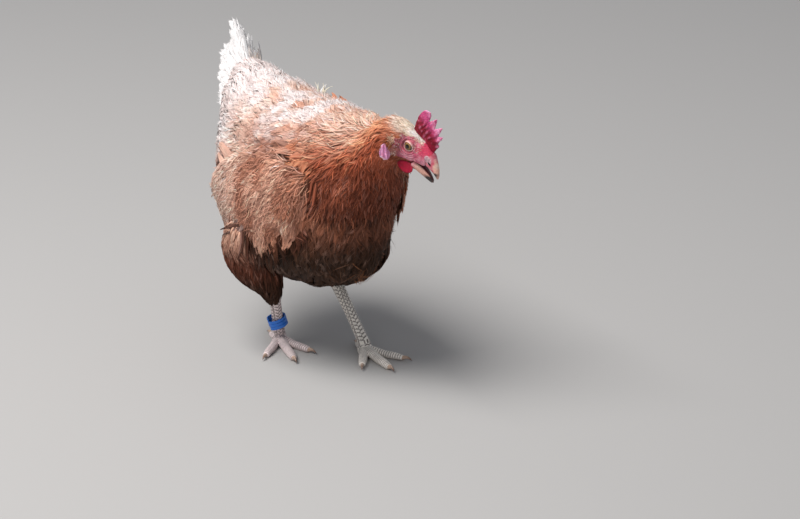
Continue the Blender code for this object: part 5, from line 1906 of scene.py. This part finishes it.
@dataclass
class Flesh:
    """Comb, wattles and ear lobes: smoothed copies of their solids with a pebbled surface."""

    head: HeadFrame
    lobe_stretch: float = 1.12
    lobe_height: float = 0.8
    lobe_fold: float = 0.7
    comb_fold: float = 0.28
    # Distance between the folds of an ear lobe and of the comb
    lobe_pitch: float = 4.6
    comb_pitch: float = 5.6
    comb_base: Array = tone(146, 14, 46)
    comb_blade: Array = tone(222, 86, 146)
    # Painted shadow under the fold low on the comb
    comb_fold_shadow: Array = tone(122, 4, 26)
    comb_points: Array = tone(250, 176, 210)
    # Painted highlight on the comb's ridges
    comb_ridge_highlight: Array = tone(246, 150, 190)
    wattle: Array = tone(178, 22, 58)
    wattle_deep: Array = tone(140, 12, 38)
    lobe: Array = tone(250, 178, 218)
    lobe_mottle: Array = tone(206, 112, 158)
    # Painted shade in the grooves between the lobe's folds
    lobe_groove_shade: Array = tone(150, 50, 100)
    lobe_rim: Array = tone(255, 234, 240)

    def build(self) -> None:
        """Makes the five pieces."""
        self._piece("comb_flesh", "comb", 0.42, 2, 0.34, self._comb_tint, COMB)
        for side in ("left", "right"):
            wattle, lobe = "wattle_" + side, "ear_lobe_" + side
            self._piece("wattle_flesh_" + side, wattle, 0.42, 3, 0.25, self._wattle_tint, COMB)
            self._piece("ear_flesh_" + side, lobe, 0.40, 3, 0.22, self._lobe_tint, LOBE)

    def _piece(
        self, name: str, node: str, voxel: float, soften: int, rough: float,
        tint: Callable[[Array], Array], finish: Finish,
    ) -> None:
        """One smoothed copy whose points move along their normals by a fine and a coarser speckle."""
        made = fused(name, (node,), voxel, 0.1, soften)
        if finish is LOBE:
            set_points(made.data, self._broadened(points_of(made.data)))
        places, normals = points_of(made.data), normals_of(made.data)
        coarse, fine = speckle(places, 0.0042, 41) - 0.5, speckle(places, 0.0013, 43) - 0.5
        stand = (coarse * 1.2 + fine) * rough
        if node == "comb":
            stand = stand + self.comb_fold * self._comb_folds(places)
        set_points(made.data, places + normals * (stand * MM)[:, None])
        paint(made.data, tint(places))
        register(made, finish, (node,))

    def _broadened(self, places: Array) -> Array:
        """The ear lobe drawn out forwards along the cheek, with two folds down its face."""
        f, u, r = self.head.read(places)
        side = np.sign(r.mean())
        rear, foot = f.min(), u.min()
        ahead = (f - rear) * self.lobe_stretch
        phase = ahead + 0.5 * u + 1.2 * speckle(places, 0.006, 61)
        fold = self.lobe_fold * np.cos(FULL_TURN * phase / self.lobe_pitch)
        out = r - side * (ahead - (f - rear)) * 0.34 + side * fold * ease(0, 3, ahead)
        return self.head.at(rear + ahead, foot + (u - foot) * self.lobe_height, out)

    def _comb_folds(self, places: Array) -> Array:
        """Ridges that run up the comb towards its points, from -1 to 1, strongest half way up."""
        f, u, _ = self.head.read(places)
        lean = f - 0.35 * u + 6.0 * speckle(places, 0.008, 63)
        broken = ease(0.2, 0.6, speckle(places, 0.005, 65))
        return np.cos(FULL_TURN * lean / self.comb_pitch) * ease(8, 15, u) * ease(34, 24, u) * broken

    def _comb_tint(self, places: Array) -> Array:
        """Crimson low down with a painted fold shadow along it, magenta above, pale pink at the points,
        painted highlights on the ridges.
        """
        f, u, _ = self.head.read(places)
        rise = u - (3.0 + 9.0 * (1 - np.clip((f + 8.6) / 30.7, 0, 1) ** 1.3))
        blotch = speckle(places, 0.0026, 45)
        folds = self._comb_folds(places)
        colour = washed(
            self.comb_base, f,
            (self.comb_blade, ease(10, 25, rise) * 0.9),
            (self.comb_fold_shadow, bell(rise - 6.5 - 0.3 * (f - 6), 4.0) * 0.8),
            (self.comb_points, np.clip(ease(22, 34, rise + 0.45 * f) * 0.8 + blotch - 0.75, 0, 1)),
            (self.comb_ridge_highlight, np.clip(folds, 0, 1) * ease(0.35, 0.7, blotch) * 0.4),
        )
        # Random mottling, and painted shade in the valleys between the ridges
        return colour * (0.78 + 0.34 * blotch - 0.2 * np.clip(-folds, 0, 1))[:, None]

    def _wattle_tint(self, places: Array) -> Array:
        """Deep crimson, mottled with a darker crimson."""
        return washed(self.wattle, places[..., 0], (self.wattle_deep, speckle(places, 0.003, 47)))

    def _lobe_tint(self, places: Array) -> Array:
        """Lilac pink, mottled, with painted shade in the grooves between its folds and a paler rim at the
        rear and lower edge.
        """
        f, u, _ = self.head.read(places)
        edge = ease(-22.5, -25.5, f) + ease(-26, -30, u)
        blotch = speckle(places, 0.0028, 49)
        groove = 0.5 - 0.5 * np.cos(FULL_TURN * (f + 0.5 * u) / self.lobe_pitch)
        return washed(
            self.lobe, f,
            (self.lobe_mottle, blotch * 0.7),
            (self.lobe_groove_shade, groove**3 * 0.55),
            (self.lobe_rim, np.clip(edge, 0, 1) * 0.8),
        )


@dataclass
class Beak:
    """Both halves of the beak with their dark patches, and the scale over each nostril."""

    head: HeadFrame
    horn: Array = tone(240, 182, 162)
    horn_edge: Array = tone(250, 216, 196)
    cere: Array = tone(212, 70, 96)
    cere_pale: Array = tone(240, 168, 176)
    dark_streak: Array = tone(46, 32, 30)
    lower_horn: Array = tone(214, 160, 142)
    lower_edge: Array = tone(240, 208, 190)
    lower_root: Array = tone(232, 158, 164)
    dark_patch: Array = tone(46, 34, 32)
    # Painted shade inside the mouth, on its red
    mouth_shade: Array = tone(70, 24, 26)
    scale: Array = tone(196, 158, 164)
    # Painted shadow of the nostril's opening
    slit_shadow: Array = tone(28, 14, 16)
    nostril_dip: float = -34.0

    def build(self) -> None:
        """Makes the two halves and the nostrils."""
        for half, tint in (("upper", self._upper_tint), ("lower", self._lower_tint)):
            made = fused(f"beak_{half}_horn", (f"beak_{half}",), 0.38, 0.12, 3)
            places = points_of(made.data)
            wobble = 6 * speckle(places, 0.006, 51)
            layers = 0.07 * np.sin(FULL_TURN * self.head.read(places)[0] / 1.7 + wobble)
            set_points(made.data, places + normals_of(made.data) * (layers * MM)[:, None])
            paint(made.data, tint(places))
            register(made, HORN, (f"beak_{half}",))
        for side in (-1, 1):
            self._nostril(side)

    def _upper_tint(self, places: Array) -> Array:
        """Pinkish cream horn with a dark streak before the tip and a pale edge."""
        f, u, _ = self.head.read(places)
        streak = bell(f - 36.4, 2.4) * ease(-11.0, -13.5, u)
        mottle = speckle(places, 0.0028, 53)
        root = ease(31, 27, f + 0.35 * u + 3 * (mottle - 0.5))
        return washed(
            self.horn, f,
            (self.horn_edge, ease(-9, -5, u) * ease(30, 34, f)),
            (washed(self.cere, f, (self.cere_pale, mottle)), root),
            (self.dark_streak, np.clip(streak * (0.75 + mottle), 0, 1)),
        )

    def _lower_tint(self, places: Array) -> Array:
        """Cream pink horn, dark below the tip and dark red inside, where painted shade darkens the mouth."""
        f, u, r = self.head.read(places)
        bite = np.interp(f, [9.4, 16, 23, 30, 35, 37], [-15.1, -15.8, -17.0, -19.2, -21.8, -24])
        inside = ease(1.2, 0.5, bite - u) * ease(np.interp(f, [9, 37], [8.3, 1.0]), 0.0, np.abs(r))
        patch = bell(f - 32.0, 6.0) * ease(-19.3, -21.3, u)
        return washed(
            self.lower_horn, f,
            (self.lower_edge, ease(-19, -16, u)),
            (self.lower_root, ease(16, 10, f)),
            (self.dark_patch, np.clip(patch * (0.7 + speckle(places, 0.003, 55)), 0, 1)),
            (self.mouth_shade, np.clip(inside * 3, 0, 1)),
        )

    def _nostril(self, side: int) -> None:
        """A leathery scale above a dark slit: two flattened domes that lie on the cere; the slit's dark dome
        is painted shadow in the nostril.
        """
        skin, dip = Caster("head", "beak_upper"), math.radians(self.nostril_dip)
        for name, place, size, tint, finish in (
            ("nostril_scale", (23.8, -3.2), (4.8, 2.9, 0.6), self.scale, DOWN),
            # The slit is a dark dome that stands for the shadow inside the nostril
            ("nostril_slit_shadow", (26.8, -5.8), (2.7, 0.9, 0.9), self.slit_shadow, HORN),
        ):
            polar = np.linspace(0.05, math.pi - 0.05, 16)[:, None]
            angle = around(28)[None]
            along = np.cos(polar) * size[0] * np.ones_like(angle)
            tall, thick = np.sin(polar) * size[1] * np.cos(angle), np.sin(polar) * size[2] * np.sin(angle)
            f = place[0] + along * math.cos(dip) - tall * math.sin(dip)
            u = place[1] + along * math.sin(dip) + tall * math.cos(dip)
            plane = self.head.at(f, u, np.zeros_like(f))
            way = np.broadcast_to(self.head.right * side, plane.shape)
            surface = blurred(mended(skin.leave(plane, way)) / MM, 2, True)
            r = side * (surface + thick)
            points, faces = closed_tube(self.head.at(f, u, r))
            if side < 0:
                faces = [face[:, ::-1] for face in faces]
            shade = 0.45 + 1.1 * speckle(points, 0.0011, 57)
            label = f"{name}_{'left' if side < 0 else 'right'}"
            show(label, points, faces, tint * shade[:, None], finish)


# ---------------------------------------------------------------- legs


@dataclass
class Leg:
    """A scaled shank and foot as one skin, and its claws."""

    side: str
    plate: Array
    groove: Array = tone(58, 38, 32)
    soil: Array = tone(92, 72, 58)
    claw: Array = tone(196, 168, 148)
    claw_tip: Array = tone(112, 84, 70)
    plate_pitch: float = 4.2
    scute_turn: float = 0.785
    toe_pitch: float = 2.7
    kinds: tuple = ("inner", "middle", "outer", "hind")

    def build(self) -> None:
        """Fuses the shank, pad and toes, raises the scutes, and finishes the claws."""
        toes = [f"toe_{kind}_{self.side}" for kind in self.kinds]
        nodes = (f"shank_{self.side}", f"foot_{self.side}", *toes)
        made = fused("leg_skin_" + self.side, nodes, 0.62, 0.28, 2)
        places, normals = points_of(made.data), normals_of(made.data)
        height, depth = self._scutes(places)
        places = places + normals * ((height - 0.25) * MM)[:, None]
        places[:, 2] = np.maximum(places[:, 2], 0.0)
        set_points(made.data, places)
        soiled = ease(4, 0.5, places[:, 2] / MM) * speckle(places, 0.006, 61)
        shaded = np.clip(depth, 0, 1) * 0.9
        colour = washed(self.plate, depth, (self.groove, shaded), (self.soil, soiled * 0.8))
        paint(made.data, colour * (0.86 + 0.28 * speckle(places, 0.004, 63))[:, None])
        register(made, SCUTES, nodes)
        for kind in self.kinds:
            self._claw(kind)

    def _lines(self) -> tuple[Array, Array, Array, Array]:
        """Start, end, girth and front of the shank's and each toe's middle line, read from the solids."""
        shank = node_mesh(f"shank_{self.side}")[0]
        shank = shank[np.argsort(shank[:, 2])]
        slice_size = max(6, len(shank) // 10)
        bottom, top = shank[:slice_size].mean(axis=0), shank[-slice_size:].mean(axis=0)
        pad = middle_of(f"foot_{self.side}") * [1, 1, 0] + [0, 0, 4 * MM]
        ends = [middle_of(f"claw_{kind}_{self.side}") for kind in self.kinds]
        ahead = unit((ends[1] - pad) * [1, 1, 0])
        starts = np.stack([bottom, *([pad] * len(ends))])
        fronts = np.stack([ahead, *([UP] * len(ends))])
        return starts, np.stack([top, *ends]), np.array([5.8, 4.3, 4.7, 4.1, 3.6]), fronts

    def _scutes(self, places: Array) -> tuple[Array, Array]:
        """Height of the scutes in millimetres, and how deep in a groove each place is, from 0 to 1.

        Along each middle line, plates follow one another with grooves between. The shank has columns of
        plates all round, each half a plate further on than the last and pointed like a V; a toe has one row
        on top.
        """
        starts, ends, girth, fronts = self._lines()
        lines = ends - starts
        length = np.linalg.norm(lines, axis=1)
        axes = lines / length[:, None]
        offset = places[:, None] - starts[None]
        along = np.clip((offset * axes[None]).sum(axis=-1), 0, length[None])
        radial = offset - along[..., None] * axes[None]
        nearest = (np.linalg.norm(radial, axis=-1) / MM - girth[None]).argmin(axis=1)
        pick = np.arange(len(places))
        along, radial = along[pick, nearest] / MM, radial[pick, nearest]
        axis, front = axes[nearest], fronts[nearest]
        front = unit(front - axis * dot(front, axis))
        side = np.cross(axis, front)
        turn = np.arctan2(dot(radial, side)[:, 0], dot(radial, front)[:, 0])
        shank = nearest == 0
        place = turn / self.scute_turn + 0.15 * np.sin(FULL_TURN * along / self.plate_pitch)
        column, within = np.floor(place), np.abs(2 * (place % 1.0) - 1)
        slant = (0.5 * (column % 2) + 0.35 * within) * shank
        count = along / np.where(shank, self.plate_pitch, self.toe_pitch) + slant
        part = np.abs(2 * (count % 1.0) - 1)
        net = ease(0.62, 0.92, np.maximum(part, within * 0.95))
        ahead = np.where(shank, 1.0, ease(1.9, 1.6, np.abs(turn)))
        depth = np.where(shank, net, ease(0.6, 0.95, part)) * ahead
        height = 0.5 * (1 - depth) + 0.16 * (count % 1.0) * ahead
        return height, depth

    def _claw(self, kind: str) -> None:
        """A smoothed claw, dark at the tip."""
        node = f"claw_{kind}_{self.side}"
        made = fused(f"claw_horn_{kind}_{self.side}", (node,), 0.36, 0.1, 3)
        places = points_of(made.data)
        pad = middle_of(f"foot_{self.side}")
        away = np.linalg.norm((places - pad)[:, :2], axis=1)
        share = (away - away.min()) / (away.max() - away.min())
        paint(made.data, washed(self.claw, share, (self.claw_tip, ease(0.2, 1.0, share))))
        register(made, HORN, (node,))


@dataclass
class LegRing:
    """The loose spiral band: three turns of a rounded strip round a tilted axis."""

    turns: int = 3
    pitch: float = 3.4
    radius: float = 9.6
    half_height: float = 1.62
    half_thickness: float = 0.66
    axis: tuple = (-0.26, 0.13, 1.0)
    blue: Array = tone(0, 66, 230)
    # Painted highlight colour on the coils
    highlight_blue: Array = tone(126, 205, 255)

    def build(self) -> None:
        """Carries a squared oval section along a helix."""
        steps, sides = 64 * self.turns, 20
        third = unit(np.array(self.axis))
        first = unit(np.cross(third, np.array([0.0, 1.0, 0.0])))
        second = np.cross(third, first)
        centre = middle_of("leg_ring")
        turn = np.linspace(0, self.turns, steps + 1)[:, None]
        out = first * np.cos(FULL_TURN * turn) + second * np.sin(FULL_TURN * turn)
        middle = centre + (out * self.radius + third * self.pitch * (turn - self.turns / 2)) * MM
        angle = around(sides)
        wide = np.sign(np.cos(angle)) * np.abs(np.cos(angle)) ** 0.5 * self.half_thickness
        tall = np.sign(np.sin(angle)) * np.abs(np.sin(angle)) ** 0.5 * self.half_height
        groove = 1 - 0.16 * bell(np.sin(angle), 0.3)
        outwards = out[:, None] * (wide * groove)[None, :, None]
        points = middle[:, None] + (outwards + third * tall[None, :, None]) * MM
        points, faces = closed_tube(points)
        crest = bell(np.sin(angle) - 0.3, 0.42) * (np.cos(angle) > -0.2)
        crest = np.concatenate([np.tile(crest, len(middle)), np.zeros(len(points) - len(middle) * sides)])
        # Painted highlight: paler blue along the upper part of each coil's outer face, broken up by a
        # speckle
        painted_highlight = crest * (0.6 + 0.4 * speckle(points, 0.005, 71))
        tint = washed(self.blue, painted_highlight, (self.highlight_blue, painted_highlight))
        show("leg_ring_band", points, faces, tint, PLASTIC, stands_for=("leg_ring",))


@dataclass
class Studio:
    """A plain pale floor, soft light from above and the camera."""

    azimuth: float = -30.0
    elevation: float = 20.0
    distance: float = 4.5
    aim: tuple = (0.0928, -0.0042, 0.0915)
    lens: float = 192.4
    floor_half: float = 12.0

    def build(self) -> None:
        """Makes the floor, the sky, the lights and the camera."""
        corners = np.array([(-1, -1, 0), (1, -1, 0), (1, 1, 0), (-1, 1, 0)]) * self.floor_half
        floor = plain_object("floor", corners, [np.arange(4)[None]])
        pale = bpy.data.materials.new("studio_floor")
        pale.use_nodes = True
        shader = pale.node_tree.nodes["Principled BSDF"]
        set_sockets(shader, {"Base Color": (0.42, 0.41, 0.40, 1), "Roughness": 0.9})
        floor.data.materials.append(pale)
        world = bpy.data.worlds.new("studio_sky")
        world.use_nodes = True
        set_sockets(world.node_tree.nodes["Background"], {"Color": (0.90, 0.93, 1.0, 1), "Strength": 0.34})
        bpy.context.scene.world = world
        bpy.context.scene.view_settings.view_transform = "Standard"
        self._light("light_above", (-1.2, 0.1, 2.6), 1.6, 98.0, (1.0, 0.985, 0.97))
        self._light("light_front", (-1.8, -2.0, 1.4), 1.6, 8.0, (0.95, 0.97, 1.0))
        self._camera()

    @staticmethod
    def _light(name: str, place: tuple, size: float, power: float, colour: tuple) -> None:
        """A square soft light that points at the hen's back."""
        lamp = bpy.data.lights.new(name, "AREA")
        lamp.size, lamp.energy, lamp.color = size, power, colour
        made = linked(name, lamp)
        made.matrix_world = facing(np.array(place), np.array([0.0, 0.0, 0.18]))

    def _camera(self) -> None:
        """The camera, at its azimuth and elevation round the aim."""
        turn, rise = math.radians(self.azimuth), math.radians(self.elevation)
        away = np.array([math.sin(turn) * math.cos(rise), -math.cos(turn) * math.cos(rise), math.sin(rise)])
        data = bpy.data.cameras.new("camera")
        data.lens, data.sensor_width, data.clip_end = self.lens, 36.0, 60.0
        made = linked("camera", data)
        aim = np.array(self.aim)
        made.matrix_world = facing(aim + away * self.distance, aim)
        bpy.context.scene.camera = made


def facing(place: Array, target: Array) -> Matrix:
    """A matrix that puts something at a place with its -Z axis towards a target and +Y upwards."""
    back = unit(place - target)
    right = unit(np.cross(UP, back))
    frame = np.eye(4)
    frame[:3, :3] = np.column_stack([right, np.cross(back, right), back])
    frame[:3, 3] = place
    return Matrix(frame.tolist())


# Each thigh's middle line: forward, left and up of a few places, from below the hock up
THIGH_LINES = {
    "thigh_left": (
        (-23, 32.4, 60), (-24, 33, 78), (-11, 36.4, 93), (9, 39.4, 112), (22, 38.4, 132), (26, 33.4, 150),
    ),
    "thigh_right": (
        (-41, -34.6, 52), (-39, -39, 71), (-49, -46.6, 92), (-54, -48.6, 114), (-40, -46.6, 134),
        (-18, -40.6, 152),
    ),
}
# The ear tufts, on both sides: forward and up on the head, how many feathers, and their colour
EAR_SPOTS = ((-16.5, -3.5, 46, (246, 190, 160)), (-16.5, -9.0, 40, (176, 104, 70)))
EAR_OUT = 16.0
SEED = 7


def ear_tufts(head: HeadFrame) -> tuple[Tuft, ...]:
    """Short feathers that fringe the ear on both sides of the head."""
    made = []
    for side, (f, u, count, colour) in itertools.product((-1, 1), EAR_SPOTS):
        place = along_left_up(head.at(*np.array([[f], [u], [side * EAR_OUT]]))[0])
        made.append(Tuft(tuple(float(size) for size in place), count, 1.7, EAR_TUFT, 2.0, colour))
    return tuple(made)


def main() -> None:
    """Builds the hen in order."""
    logging.basicConfig(level=logging.INFO, format="%(message)s")
    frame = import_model()
    LOG.info("loaded %d nodes", len(frame["nodes"]))
    head = HeadFrame()
    marks = Markings(head)
    face = Face(head)
    body = Body(head, marks, face)
    thighs = [Thigh(node, line, marks) for node, line in THIGH_LINES.items()]
    body.build_skin(thighs)
    rng = np.random.default_rng(SEED)
    for side in (1, -1):
        Wing(side, marks).build(rng)
    for thigh in thighs:
        thigh.build(rng)
    plumage = BodyPlumage(body, marks)
    plumage.build(rng)
    plumage.build_tufts(TUFTS + ear_tufts(head), rng)
    Tail(marks).build(rng)
    lids = Caster("head", "eye_left", "eye_right")
    for side in (-1, 1):
        eye = Eye(head, side)
        eye.build_ball()
        eye.build_lids(lids)
    Flesh(head).build()
    Beak(head).build()
    Leg("left", srgb(246, 238, 228)).build()
    Leg("right", srgb(240, 222, 220)).build()
    LegRing().build()
    Studio().build()


if __name__ == "__main__":
    main()
